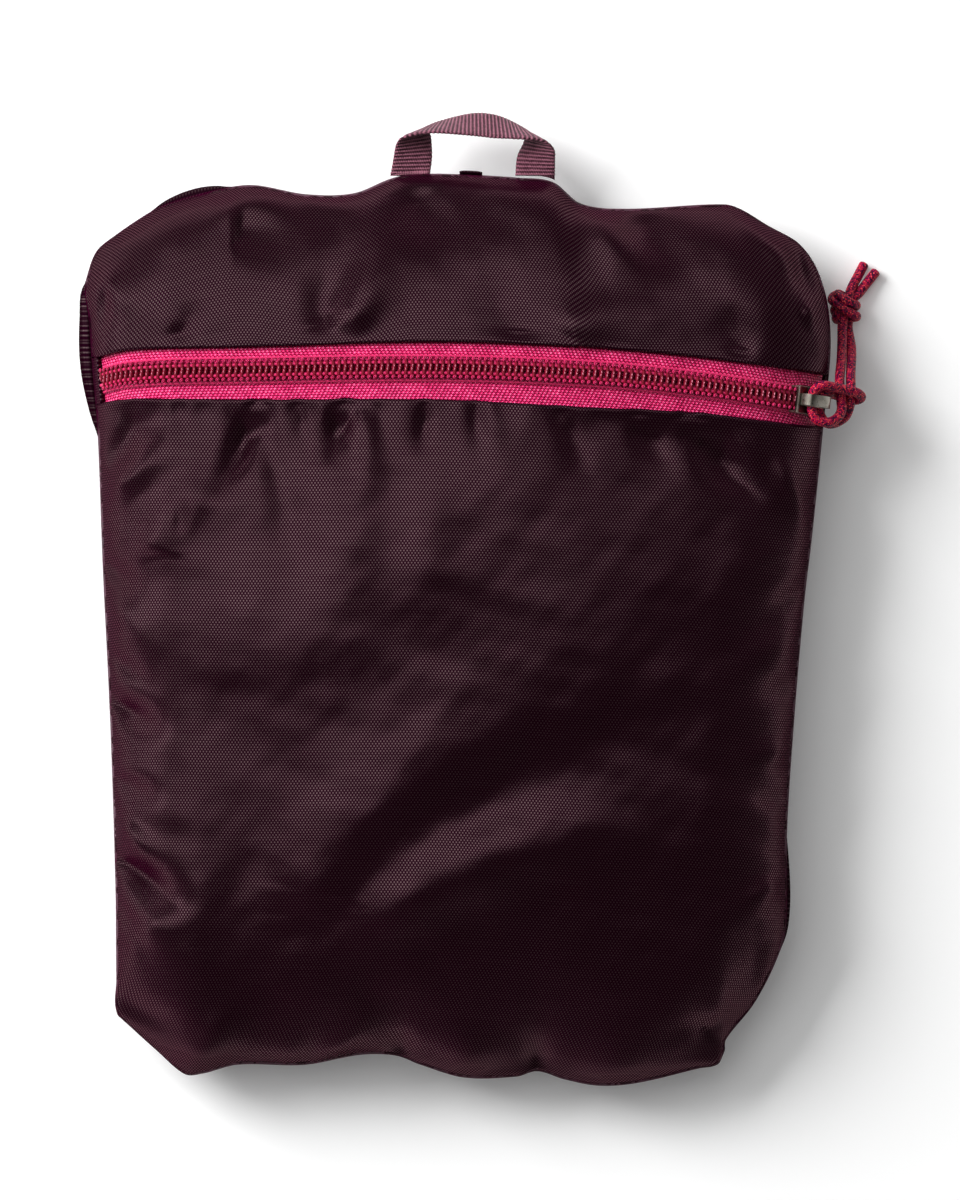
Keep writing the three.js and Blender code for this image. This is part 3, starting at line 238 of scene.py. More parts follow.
# Route of the cord: up the first leg from the knot, under the bridge, round the bight,
# back under the bridge and down the second leg. Points given in metres.
CORD_ROUTE = [
    (0.1022, 0.0723, 0.0061), (0.1021, 0.0685, 0.0086), (0.1018, 0.0630, 0.0134),
    (0.1013, 0.0585, 0.0178), (0.1013, 0.0555, 0.0205), (0.1016, 0.0524, 0.0219),
    (0.1016, 0.0496, 0.0235), (0.1002, 0.0475, 0.0250), (0.0979, 0.0466, 0.0266),
    (0.0952, 0.0473, 0.0274), (0.0939, 0.0496, 0.0275), (0.0939, 0.0522, 0.0275),
    (0.0945, 0.0550, 0.0279), (0.0964, 0.0562, 0.0280), (0.0988, 0.0560, 0.0266),
    (0.1014, 0.0554, 0.0247), (0.1039, 0.0549, 0.0233), (0.1059, 0.0543, 0.0219),
    (0.1069, 0.0533, 0.0198), (0.1057, 0.0526, 0.0175), (0.1033, 0.0529, 0.0163),
    (0.1008, 0.0537, 0.0166), (0.0988, 0.0544, 0.0187), (0.0989, 0.0550, 0.0228),
    (0.0972, 0.0546, 0.0246), (0.0959, 0.0526, 0.0256), (0.0957, 0.0500, 0.0256),
    (0.0964, 0.0479, 0.0246), (0.0979, 0.0464, 0.0227), (0.1000, 0.0465, 0.0207),
    (0.1027, 0.0482, 0.0198), (0.1040, 0.0516, 0.0196), (0.1042, 0.0552, 0.0190),
    (0.1042, 0.0588, 0.0162), (0.1045, 0.0664, 0.0082), (0.1037, 0.0721, 0.0034),
]
BRIDGE_POINT = 11

# Strands of the knot beyond the two legs, and their tails, in metres
FIRST_KNOT_STRAND = [
    (0.1026, 0.0752, 0.0046), (0.1031, 0.0778, 0.0034),
    (0.1022, 0.0801, 0.0026), (0.1004, 0.0802, 0.0029), (0.0996, 0.0791, 0.0046),
    (0.1012, 0.0778, 0.0064), (0.1036, 0.0759, 0.0066), (0.1058, 0.0748, 0.0050),
    (0.1054, 0.0746, 0.0026), (0.1034, 0.0743, 0.0018), (0.1012, 0.0739, 0.0024),
    (0.1007, 0.0746, 0.0044), (0.1022, 0.0770, 0.0050), (0.1036, 0.0794, 0.0044),
    (0.1048, 0.0824, 0.0034), (0.1066, 0.0858, 0.0020), (0.1082, 0.0889, 0.0014),
]
SECOND_KNOT_STRAND = [
    (0.1040, 0.0752, 0.0029), (0.1034, 0.0786, 0.0026),
    (0.1019, 0.0803, 0.0026), (0.1010, 0.0805, 0.0042), (0.1014, 0.0800, 0.0058),
    (0.1030, 0.0790, 0.0067), (0.1048, 0.0780, 0.0060), (0.1058, 0.0776, 0.0042),
    (0.1050, 0.0772, 0.0020), (0.1030, 0.0760, 0.0015), (0.1008, 0.0756, 0.0020),
    (0.1003, 0.0766, 0.0036), (0.1020, 0.0779, 0.0044), (0.1040, 0.0792, 0.0036),
    (0.1060, 0.0803, 0.0030), (0.1086, 0.0834, 0.0019), (0.1114, 0.0869, 0.0014),
]

# Haul loop: its middle line as shares of LOOP_SPAN and LOOP_RISE from the left foot, its height
# above the seam as a share of the webbing's width, how far it has turned over in degrees,
# and how much of its width then points up the pouch
LOOP_LINE = [
    (0.000, -0.050, 0.00, 0, 0.30), (0.022, 0.250, 0.04, 10, 0.30), (0.032, 0.556, 0.10, 30, 0.35),
    (0.055, 0.680, 0.16, 54, 0.26), (0.204, 0.779, 0.22, 76, 0.30), (0.484, 0.822, 0.26, 90, 0.55),
    (0.660, 0.796, 0.27, 92, 0.60), (0.812, 0.740, 0.25, 97, 0.48), (0.980, 0.640, 0.18, 114, 0.28),
    (1.030, 0.474, 0.10, 138, 0.24), (1.010, 0.237, 0.04, 165, 0.30), (1.004, -0.050, 0.00, 180, 0.30),
]
LOOP_LEFT_FOOT = -0.059 * WIDTH


def mix(a, b, t):
    return a + (b - a) * t


def smooth(t):
    t = np.clip(t, 0, 1)
    return t * t * (3 - 2 * t)


def x_at(across):
    return across * WIDTH


def y_at(up):
    return BOTTOM_Y + up * HEIGHT


def up_of(y):
    return (y - BOTTOM_Y) / HEIGHT


def curve_through(rows, source, target):
    """Smooth curve through a table's rows, giving one column as a function of another."""
    knots, values = rows[source], rows[target]
    before = np.maximum(np.arange(len(knots)) - 1, 0)
    after = np.minimum(np.arange(len(knots)) + 1, len(knots) - 1)
    slopes = (values[after] - values[before]) / (knots[after] - knots[before])

    def at(value):
        x = np.clip(value, knots[0], knots[-1])
        k = np.clip(np.searchsorted(knots, x, side="left") - 1, 0, len(knots) - 2)
        span = knots[k + 1] - knots[k]
        t = (x - knots[k]) / span
        return (
            (2 * t**3 - 3 * t**2 + 1) * values[k]
            + (t**3 - 2 * t**2 + t) * span * slopes[k]
            + (3 * t**2 - 2 * t**3) * values[k + 1]
            + (t**3 - t**2) * span * slopes[k + 1]
        )

    return at


left_share = curve_through(LEFT_SIDE, "up", "across")
right_share = curve_through(RIGHT_SIDE, "up", "across")
top_share = curve_through(TOP_EDGE, "across", "up")
bottom_share = curve_through(BOTTOM_EDGE, "across", "up")
zipper_share = curve_through(ZIPPER_LINE, "across", "up")
above_share = curve_through(ZIPPER_LINE, "across", "above")
below_share = curve_through(ZIPPER_LINE, "across", "below")


def proud_reach(side, share):
    """How far the back cloth stands out beyond the front at a place along one side."""
    start, end, reach = BACK_PROUD[side]
    t = np.clip((share - start) / (end - start), 0, 1)
    return reach * WIDTH * np.sin(np.pi * t) ** 0.7


def left_x(y, proud=0):
    return x_at(left_share(up_of(y))) - proud * proud_reach("left", up_of(y))


def right_x(y, proud=0):
    return x_at(right_share(up_of(y))) + proud * proud_reach("right", up_of(y))


def top_y(x, proud=0):
    return y_at(top_share(x / WIDTH)) + proud * proud_reach("top", x / WIDTH)


def bottom_y(x):
    return y_at(bottom_share(x / WIDTH))


def chain_y(x):
    return y_at(zipper_share(x / WIDTH))


def upper_hem_y(x):
    return chain_y(x) + above_share(x / WIDTH) * HEIGHT


def lower_hem_y(x):
    return chain_y(x) - below_share(x / WIDTH) * HEIGHT


def roll(distance, width):
    """Quarter-ellipse roll: 0 at the outline, 1 once a point is the roll's width inside it."""
    t = np.clip(distance / width, 0, 1)
    return np.sqrt(1 - (1 - t) ** 2)


def pillow(x, y, side_roll, end_roll, proud=0):
    """Share of full height at a point, from its distance to all four sides."""
    sides = roll(x - left_x(y, proud), side_roll) * roll(right_x(y, proud) - x, side_roll)
    ends = roll(top_y(x, proud) - y, end_roll) * roll(y - bottom_y(x), end_roll)
    return sides * ends


def front_level(x, y):
    """Front surface without its folds: rolled shoulders under a broad crown."""
    across_crown = np.maximum(1 - (2 * x / WIDTH) ** 2, 0) ** 1.5
    up_crown = np.maximum(1 - (2 * (y - (TOP_Y + BOTTOM_Y) / 2) / HEIGHT) ** 2, 0) ** 1.2
    shoulders = SHOULDER_RISE * pillow(x, y, SIDE_ROLL, END_ROLL)
    return SEAM_LEVEL + shoulders + CROWN_RISE * across_crown * up_crown


def inside_edge(x, y):
    """0 at the pouch's outline, 1 a little way inside it."""
    return smooth(pillow(x, y, SIDE_ROLL, SIDE_ROLL) * 1.6)


def fold_relief(folds, x, y):
    """Height of the curved folds in a table at a point, faded out at the pouch's outline."""
    relief = np.zeros(np.shape(x))
    for k in range(len(folds["half"])):
        ends = [np.array([x_at(folds[f"across{n}"][k]), y_at(folds[f"up{n}"][k])]) for n in (1, 2, 3)]
        bent = 2 * ends[1] - (ends[0] + ends[2]) / 2
        share = np.linspace(0, 1, 13)[:, None]
        line = ends[0] * (1 - share) ** 2 + 2 * bent * share * (1 - share) + ends[2] * share**2
        nearest = np.full(np.shape(x), np.inf)
        place, side = np.zeros(np.shape(x)), np.zeros(np.shape(x))
        for n in range(12):
            along = line[n + 1] - line[n]
            to_x, to_y = x - line[n][0], y - line[n][1]
            t = np.clip((to_x * along[0] + to_y * along[1]) / (along @ along), 0, 1)
            away = np.hypot(to_x - t * along[0], to_y - t * along[1])
            closer = away < nearest
            nearest = np.where(closer, away, nearest)
            place = np.where(closer, (n + t) / 12, place)
            side = np.where(closer, to_x * along[1] - to_y * along[0], side)
        lean = folds["lean"][k] * np.tanh(side / (np.hypot(*(line[-1] - line[0])) * 0.002))
        away = nearest / (folds["half"][k] * WIDTH * (1 + lean) * mix(0.75, 1.45, place))
        soft = np.exp(-(away**2))
        cusp = np.exp(-1.5 * (np.sqrt(away**2 + 0.02) - 0.14))
        profile = mix(soft, cusp, folds["sharp"][k])
        rise = folds["rise"][k]
        started = smooth(place / rise) if rise > 0 else 1.0
        relief += folds["height"][k] * WIDTH * profile * started * smooth((1 - place) / 0.6)
    return relief * inside_edge(x, y)


def back_level(x, y):
    return (SEAM_LEVEL - GAP) * (1 - pillow(x, y, UNDER_ROLL, UNDER_ROLL, 1))


def normal_of(level, x, y):
    """Unit normals of a height function."""
    step = 0.0003
    dx = (level(x + step, y) - level(x - step, y)) / (2 * step)
    dy = (level(x, y + step) - level(x, y - step)) / (2 * step)
    normal = np.stack([-dx, -dy, np.ones(np.shape(dx))], axis=-1)
    return normal / np.linalg.norm(normal, axis=-1, keepdims=True)


def unit(vectors):
    return vectors / np.maximum(np.linalg.norm(vectors, axis=-1, keepdims=True), 1e-12)


def meet_side(line, side, start):
    """Place on the pouch's outline where a line across it, given as y over x, meets one side."""
    x = start
    for _ in range(30):
        x = side(line(x))
    return float(x)


def catmull_rom(points, places):
    """Points on a centripetal Catmull-Rom curve, at shares from 0 to 1 of its knots."""
    points = np.asarray(points, float)
    padded = np.vstack([2 * points[0] - points[1], points, 2 * points[-1] - points[-2]])
    scaled = np.asarray(places) * (len(points) - 1)
    k = np.minimum(scaled.astype(int), len(points) - 2)
    w = (scaled - k)[:, None]
    p0, p1, p2, p3 = padded[k], padded[k + 1], padded[k + 2], padded[k + 3]
    d0, d1, d2 = [
        np.maximum(np.linalg.norm(b - a, axis=1), 1e-9)[:, None] ** 0.5
        for a, b in ((p0, p1), (p1, p2), (p2, p3))
    ]
    m1 = ((p1 - p0) / d0 - (p2 - p0) / (d0 + d1) + (p2 - p1) / d1) * d1
    m2 = ((p2 - p1) / d1 - (p3 - p1) / (d1 + d2) + (p3 - p2) / d2) * d1
    return (
        (2 * w**3 - 3 * w**2 + 1) * p1
        + (w**3 - 2 * w**2 + w) * m1
        + (3 * w**2 - 2 * w**3) * p2
        + (w**3 - w**2) * m2
    )


def run_length(points):
    """Distance travelled along a line of points, at each of them."""
    return np.concatenate([[0], np.cumsum(np.linalg.norm(np.diff(points, axis=0), axis=1))])


def even_path(points, step):
    """Curve through points, sampled at even steps of its length. Also gives that length."""
    fine = catmull_rom(points, np.linspace(0, 1, 60 * len(points)))
    travelled = run_length(fine)
    count = max(int(round(travelled[-1] / step)), 2)
    wanted = np.linspace(0, travelled[-1], count + 1)
    path = np.stack([np.interp(wanted, travelled, fine[:, k]) for k in range(3)], axis=1)
    return path, float(travelled[-1])


# Camera straight above, as the photograph was taken
camera_data = bpy.data.cameras.new("camera")
camera = bpy.data.objects.new("camera", camera_data)
bpy.context.scene.collection.objects.link(camera)
camera.location = (CAMERA_CENTRE[0], CAMERA_CENTRE[1], CAMERA_HEIGHT)
camera_data.sensor_width = 36
camera_data.lens = 36 * (CAMERA_HEIGHT - SUBJECT_LEVEL) / FRAMED_LENGTH
camera_data.clip_start = 0.05
camera_data.clip_end = 50
bpy.context.scene.camera = camera
bpy.context.scene.view_settings.view_transform = "Standard"


class Nodes:
    """Short way to write a material's nodes."""

    def __init__(self, name):
        self.material = bpy.data.materials.new(name)
        self.material.use_nodes = True
        self.tree = self.material.node_tree
        self.tree.nodes.clear()
        self.output = self.tree.nodes.new("ShaderNodeOutputMaterial")
        self.shader = self.tree.nodes.new("ShaderNodeBsdfPrincipled")
        self.link(self.shader.outputs[0], self.output.inputs["Surface"])

    def link(self, source, target):
        self.tree.links.new(source, target)

    def feed(self, socket, value):
        if hasattr(value, "links"):
            self.link(value, socket)
        else:
            socket.default_value = value

    def set(self, **values):
        for name, value in values.items():
            self.feed(self.shader.inputs[name.replace("_", " ")], value)
        return self

    def math(self, operation, a, b=0.0):
        node = self.tree.nodes.new("ShaderNodeMath")
        node.operation = operation
        for socket, value in zip(node.inputs, (a, b)):
            self.feed(socket, value)
        return node.outputs[0]

    def uv(self):
        node = self.tree.nodes.new("ShaderNodeUVMap")
        node.uv_map = "cloth"
        parts = self.tree.nodes.new("ShaderNodeSeparateXYZ")
        self.link(node.outputs[0], parts.inputs[0])
        return parts.outputs[0], parts.outputs[1]

    def place(self):
        return self.tree.nodes.new("ShaderNodeTexCoord").outputs["Object"]

    def vector(self, x, y, z=0.0):
        node = self.tree.nodes.new("ShaderNodeCombineXYZ")
        for socket, value in zip(node.inputs, (x, y, z)):
            self.feed(socket, value)
        return node.outputs[0]

    def noise(self, vector, scale, detail=2.0, roughness=0.5):
        node = self.tree.nodes.new("ShaderNodeTexNoise")
        self.link(vector, node.inputs["Vector"])
        node.inputs["Scale"].default_value = scale
        node.inputs["Detail"].default_value = detail
        node.inputs["Roughness"].default_value = roughness
        return node.outputs[0]

    def random(self, vector):
        node = self.tree.nodes.new("ShaderNodeTexWhiteNoise")
        node.noise_dimensions = "3D"
        self.link(vector, node.inputs["Vector"])
        return node.outputs["Value"]

    def span(self, value, low, high, to_low=0.0, to_high=1.0):
        node = self.tree.nodes.new("ShaderNodeMapRange")
        for name, number in (
            ("From Min", low), ("From Max", high), ("To Min", to_low), ("To Max", to_high),
        ):
            node.inputs[name].default_value = number
        self.link(value, node.inputs["Value"])
        return node.outputs[0]

    def colour(self, factor, first, second):
        node = self.tree.nodes.new("ShaderNodeMix")
        node.data_type = "RGBA"
        self.feed(node.inputs[0], factor)
        for socket, value in ((node.inputs[6], first), (node.inputs[7], second)):
            self.feed(socket, (*value, 1.0) if isinstance(value, tuple) else value)
        return node.outputs[2]

    def ramp(self, value, stops):
        node = self.tree.nodes.new("ShaderNodeValToRGB")
        self.link(value, node.inputs[0])
        elements = node.color_ramp.elements
        while len(elements) < len(stops):
            elements.new(0.5)
        for element, (position, colour) in zip(elements, stops):
            element.position = position
            element.color = (*colour, 1.0)
        return node.outputs[0]

    def bump(self, height, distance, strength=1.0):
        node = self.tree.nodes.new("ShaderNodeBump")
        node.inputs["Distance"].default_value = distance
        node.inputs["Strength"].default_value = strength
        self.link(height, node.inputs["Height"])
        return node.outputs[0]

    def wave(self, value, pitch):
        return self.math("COSINE", self.math("MULTIPLY", value, 2 * math.pi / pitch))


# Weave of the pouch, in millimetres: distance between neighbouring pale threads in a row,
# and from one row to the next, where they are staggered
WEAVE_PITCH = 0.86
WEAVE_ROW = 0.64

# Weave of the zipper tape, in millimetres
TAPE_CELL = 1.08
TAPE_ROW = 0.72
TAPE_RIPPLE = 13.0

# Webbing, in millimetres: from one rib to the next, and between the links across a rib
RIB_PITCH = 0.98
LINK_PITCH = 0.62


def pouch_fabric(name, dark, light):
    """Plain-woven nylon with a satin face: pale weft threads between dark warp threads. The pale crests are
    partly the two-tone weave and partly a painted highlight, and the dark gaps are partly painted shade.
    """
    n = Nodes(name)
    u, v = n.uv()
    row = n.math("FLOOR", n.math("DIVIDE", v, WEAVE_ROW))
    staggered = n.math("ADD", u, n.math("MULTIPLY", row, WEAVE_PITCH / 2))
    weft = n.math("ABSOLUTE", n.math("SINE", n.math("MULTIPLY", v, math.pi / WEAVE_ROW)))
    over = n.math("MULTIPLY", n.span(n.wave(staggered, WEAVE_PITCH), -0.6, 0.9), weft)
    threads = n.math("POWER", over, 1.5)
    slubs = n.noise(n.vector(n.math("MULTIPLY", u, 0.05), n.math("MULTIPLY", v, 1.4)), 1.0, 2.0)
    patches = n.noise(n.place(), 30.0, 3.0)
    # Colour follows the thread crests: partly the weave's two tones, partly painted highlight on the crests
    # and painted shade between them
    tone_with_painted_light = n.math("ADD", threads, n.span(slubs, 0.3, 0.7, -0.03, 0.03))
    n.set(Base_Color=n.colour(tone_with_painted_light, dark, light), Metallic=0.92, Specular_Tint=(0.25, 0.12, 0.18, 1.0))
    n.set(Sheen_Weight=0.07, Sheen_Roughness=0.7, Sheen_Tint=(0.55, 0.0, 0.20, 1.0))
    n.set(Roughness=n.math("ADD", n.span(patches, 0.3, 0.7, 0.25, 0.29), n.span(threads, 0, 1, 0.04, 0.0)))
    n.set(Normal=n.bump(threads, 0.00002, 0.7))
    return n.material


def tape_fabric(name):
    """Coarse woven zipper tape with small brick-like cells, coloured after their relief: painted shade in
    the gaps and painted highlights on the raised tips.
    """
    n = Nodes(name)
    u, v = n.uv()
    row = n.math("FLOOR", n.math("DIVIDE", v, TAPE_ROW))
    shifted = n.math("ADD", u, n.math("MULTIPLY", row, TAPE_CELL / 3))
    cells = n.math("MULTIPLY", n.wave(shifted, TAPE_CELL), 0.5)
    ribs = n.math("ABSOLUTE", n.math("SINE", n.math("MULTIPLY", v, math.pi / TAPE_ROW)))
    fine = n.wave(n.math("ADD", u, v), TAPE_CELL / 2)
    height = n.math("ADD", n.math("ADD", cells, ribs), n.math("MULTIPLY", fine, 0.25))
    cell = n.random(n.vector(n.math("FLOOR", n.math("DIVIDE", shifted, TAPE_CELL / 2)), row))
    tone_with_painted_light = n.math("ADD", n.span(height, -0.1, 1.5), n.span(cell, 0, 1, -0.16, 0.16))
    # Dark first stop: painted shade in the gaps. Pale last stops: painted highlights on the tips.
    colour = n.ramp(tone_with_painted_light, [
        (0.0, (0.16, 0.0005, 0.022)), (0.50, (0.80, 0.012, 0.13)),
        (0.80, (1.0, 0.06, 0.25)), (1.0, (1.0, 0.24, 0.45)),
    ])
    ripple = n.wave(n.math("SUBTRACT", u, n.math("MULTIPLY", v, 0.8)), TAPE_RIPPLE)
    waves = n.math("MULTIPLY", ripple, n.span(n.noise(n.place(), 60.0, 1.0), 0.35, 0.7, 0.2, 2.2))
    n.set(Base_Color=colour, Roughness=0.55, Specular_IOR_Level=0.3)
    n.set(Normal=n.bump(n.math("ADD", height, waves), 0.00020, 0.95))
    return n.material


def monofilament(name, dark, light, roughness):
    """Speckled nylon of the chain. Its colours carry painted light: the teeth's crimson is darkened as
    painted shade, and the heads' pale colour stands for painted glints.
    """
    n = Nodes(name)
    speckle = n.noise(n.place(), 900.0, 2.0)
    n.set(Base_Color=n.colour(speckle, dark, light))
    n.set(Roughness=n.span(speckle, 0.3, 0.7, roughness, roughness + 0.06), Specular_IOR_Level=0.3)
    n.set(Normal=n.bump(speckle, 0.00002, 0.4))
    return n.material


def stitch_thread():
    """Pink thread that sews the chain to the tapes."""
    n = Nodes("zipper_thread")
    twist = n.noise(n.place(), 2600.0, 2.0)
    n.set(Base_Color=n.colour(twist, (0.32, 0.003, 0.045), (0.92, 0.040, 0.19)))
    n.set(Roughness=0.55, Sheen_Weight=0.05, Sheen_Roughness=0.4, Specular_IOR_Level=0.4)
    n.set(Normal=n.bump(twist, 0.00008, 0.7))
    return n.material


def antique_nickel(name, dark, light):
    """Plated metal with a brushed grain and darker blotches."""
    n = Nodes(name)
    grain = n.noise(n.place(), 1400.0, 4.0, 0.65)
    blotch = n.noise(n.place(), 260.0, 3.0)
    n.set(Base_Color=n.colour(n.span(blotch, 0.3, 0.7), dark, light))
    n.set(Metallic=1.0, Roughness=n.span(grain, 0.25, 0.75, 0.22, 0.42))
    n.set(Normal=n.bump(grain, 0.00003, 0.5))
    return n.material


# Helical strands of the braided cord: how many go each way, and how far one cell reaches along
BRAID_STRANDS = 24
BRAID_CELL = 0.0011


def braided_cord():
    """Braid of red, pink and purple strands. The UV runs in millimetres along and in turns round."""
    n = Nodes("cord_braid")
    along, turn = n.uv()
    length = n.math("DIVIDE", along, BRAID_CELL * 1000)
    around = n.math("MULTIPLY", turn, BRAID_STRANDS / 2)
    a = n.math("ADD", n.math("ADD", length, around), length)
    b = n.math("ADD", n.math("SUBTRACT", length, around), length)
    first = n.math("FLOOR", n.math("ADD", a, 0.5))
    second = n.math("FLOOR", n.math("ADD", b, 0.5))
    parity = n.math("MODULO", n.math("ABSOLUTE", n.math("ADD", first, second)), 2.0)
    strand_a = n.random(n.vector(n.math("FLOORED_MODULO", first, 6.0), 3.1))
    strand_b = n.random(n.vector(n.math("FLOORED_MODULO", second, 6.0), 8.7))
    under = n.math("MULTIPLY", strand_b, n.math("SUBTRACT", 1.0, parity))
    strand = n.math("ADD", n.math("MULTIPLY", strand_a, parity), under)
    fleck = n.random(n.vector(first, second, 5.0))
    value = n.math("ADD", n.math("MULTIPLY", strand, 0.30), n.math("MULTIPLY", fleck, 0.70))
    colour = n.ramp(value, [
        (0.25, (0.016, 0.001, 0.028)), (0.38, (0.15, 0.001, 0.045)), (0.52, (0.48, 0.003, 0.075)),
        (0.68, (0.66, 0.008, 0.045)), (0.88, (0.95, 0.10, 0.11)),
    ])
    # Colour darkened in the grooves between the strands' crowns: painted shade
    crown = n.math("ABSOLUTE", n.math("MULTIPLY", n.wave(a, 2.0), n.wave(b, 2.0)))
    painted_groove_shade = n.colour(n.span(crown, 0.0, 0.55), (0.05, 0.0, 0.012), colour)
    n.set(Base_Color=painted_groove_shade, Roughness=0.5, Specular_IOR_Level=0.22)
    hairs = n.noise(n.place(), 3000.0, 2.0)
    n.set(Normal=n.bump(hairs, 0.00006, 0.6))
    return n.material


def webbing_fabric():
    """Grosgrain webbing: ribs and links coloured lighter on their crests and darker between them, as painted
    highlight and painted shade. The UV runs in millimetres along and across.
    """
    n = Nodes("webbing")
    along, across = n.uv()
    rib = n.wave(along, RIB_PITCH)
    links = n.wave(n.math("ADD", across, n.math("MULTIPLY", along, 0.55)), LINK_PITCH)
    # Colour follows the ribs and links: painted highlight on the crests, painted shade between them; the
    # cells add tone at random
    tone_with_painted_light = n.math("ADD", n.span(rib, -0.7, 0.9), n.math("MULTIPLY", links, 0.34))
    rib_number = n.math("FLOOR", n.math("DIVIDE", along, RIB_PITCH / 2))
    link_number = n.math("FLOOR", n.math("DIVIDE", across, LINK_PITCH))
    cell = n.random(n.vector(rib_number, link_number))
    tone_with_painted_light = n.math("ADD", tone_with_painted_light, n.span(cell, 0, 1, -0.24, 0.24))
    n.set(Base_Color=n.colour(tone_with_painted_light, (0.042, 0.009, 0.019), (0.30, 0.112, 0.158)))
    n.set(Roughness=0.6, Sheen_Weight=0.04, Sheen_Roughness=0.4, Specular_IOR_Level=0.3)
    n.set(Normal=n.bump(n.math("ADD", rib, links), 0.00007, 0.6))
    return n.material


PLUM = pouch_fabric("pouch_plum", (0.011, 0.0008, 0.0052), (0.160, 0.104, 0.108))
BACK_PLUM = pouch_fabric("back_plum", (0.010, 0.0008, 0.0050), (0.125, 0.080, 0.086))
TAPE_PINK = tape_fabric("tape_pink")
# Coil colour: the nylon's own crimson, darkened further as painted shade between the stitches and the heads
SHADE_DARKENED_NYLON = monofilament("coil_nylon", (0.11, 0.0005, 0.008), (0.22, 0.0012, 0.020), 0.45)
# Pale colours on the beads at the teeth's heads: painted glints of the monofilament
GLINT_PAINTED_HEADS = monofilament("coil_heads", (0.55, 0.06, 0.15), (1.0, 0.40, 0.50), 0.2)
THREAD = stitch_thread()
# One plated metal in two copies: the brighter copy is a painted highlight, and the darker copy, on the top
# plate, is painted shade
HIGHLIGHT_PAINTED_NICKEL = antique_nickel("slider_painted_highlight", (0.15, 0.135, 0.11), (0.42, 0.39, 0.34))
SHADE_PAINTED_NICKEL = antique_nickel("slider_painted_shade", (0.045, 0.040, 0.034), (0.14, 0.125, 0.105))
BRAID = braided_cord()
WEBBING = webbing_fabric()


def make_piece(name, points, faces, material, slot, replaced=(), uvs=None):
    """Smooth mesh that rides on the body and stands for CAD nodes. Its slot argument is not used."""
    mesh = bpy.data.meshes.new(name)
    mesh.from_pydata(np.asarray(points).reshape(-1, 3).tolist(), [], [list(f) for f in faces])
    if uvs is not None:
        layer = mesh.uv_layers.new(name="cloth")
        corner = np.zeros(len(mesh.loops), np.int32)
        mesh.loops.foreach_get("vertex_index", corner)
        layer.data.foreach_set("uv", np.asarray(uvs, np.float32).reshape(-1, 2)[corner].ravel())
    mesh.polygons.foreach_set("use_smooth", np.ones(len(mesh.polygons), bool))
    mesh.materials.append(material)
    mesh.update()
    piece = bpy.data.objects.new(name, mesh)
    bpy.context.scene.collection.objects.link(piece)
    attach(piece, "root")
    if replaced:
        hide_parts(*replaced)
    return piece


def grid_faces(rows, columns, start=0, closed_rows=False, closed_columns=False):
    """Quads between the points of a grid that is stored row by row."""
    last_row = rows if closed_rows else rows - 1
    last_column = columns if closed_columns else columns - 1
    i, j = np.meshgrid(np.arange(last_row), np.arange(last_column), indexing="ij")
    below, right = (i + 1) % rows, (j + 1) % columns
    quads = np.stack([
        i * columns + j, i * columns + right, below * columns + right, below * columns + j,
    ], -1)
    return (quads.reshape(-1, 4) + start).tolist()


def flipped(faces):
    return [face[::-1] for face in faces]


def shell(outer, inner, bulge):
    """Closed cloth wall between two grids, with rounded rims at its first and last rows."""
    rows, columns = outer.shape[:2]
    radius = np.linalg.norm(outer[-1] - inner[-1], axis=-1, keepdims=True) / 2

    def rim(a, b, away, half):
        middle = (a + b) / 2
        turns = (math.pi * 0.25, math.pi * 0.5, math.pi * 0.75)
        return [middle + (a - middle) * math.cos(t) + away * half * math.sin(t) for t in turns]

    first_away = unit(outer[0] - outer[1])
    last_away = unit(outer[-1] - outer[-2])
    bottom = rim(outer[-1], inner[-1], last_away, radius * bulge[1])
    first_radius = np.linalg.norm(outer[0] - inner[0], axis=-1, keepdims=True) / 2
    top = rim(inner[0], outer[0], first_away, first_radius * bulge[0])
    ring = np.concatenate([outer, np.array(bottom), inner[::-1], np.array(top)])
    total = len(ring)
    faces = grid_faces(total, columns, closed_rows=True)
    first_cap = [total - 4, total - 3, total - 2, total - 1, 0]
    last_cap = [rows - 1, rows, rows + 1, rows + 2, rows + 3]
    for column in (0, columns - 1):
        turned = column > 0
        for i in range(rows - 1):
            a, b = i, i + 1
            c, d = total - 4 - (i + 1), total - 4 - i
            quad = [a * columns + column, b * columns + column, c * columns + column, d * columns + column]
            faces.append(quad[::-1] if turned else quad)
        for cap in (last_cap, first_cap):
            polygon = [k * columns + column for k in cap]
            faces.append(polygon[::-1] if turned else polygon)
    return ring, flipped(faces)


def ring_uvs(outer, ring_rows):
    """Millimetres along and down the cloth for every row of a shell's ring."""
    rows, columns = outer.shape[:2]
    along = np.linalg.norm(np.diff(outer, axis=1), axis=-1).cumsum(axis=1)
    along = np.concatenate([np.zeros((rows, 1)), along], axis=1)
    along = along - along[:, columns // 2 : columns // 2 + 1]
    down = np.linalg.norm(np.diff(outer, axis=0), axis=-1).cumsum(axis=0)
    down = np.concatenate([np.zeros((1, columns)), down])
    flat = np.stack([along, down], axis=-1) * 1000
    rim = (ring_rows - 2 * rows) // 2
    step = 0.3 * np.arange(1, rim + 1)[:, None]
    below = np.stack([np.repeat(along[-1:], rim, 0) * 1000, down[-1:] * 1000 + step], axis=-1)
    above = np.stack([np.repeat(along[:1], rim, 0) * 1000, down[:1] * 1000 - step], axis=-1)
    return np.concatenate([flat, below, flat[::-1], above])


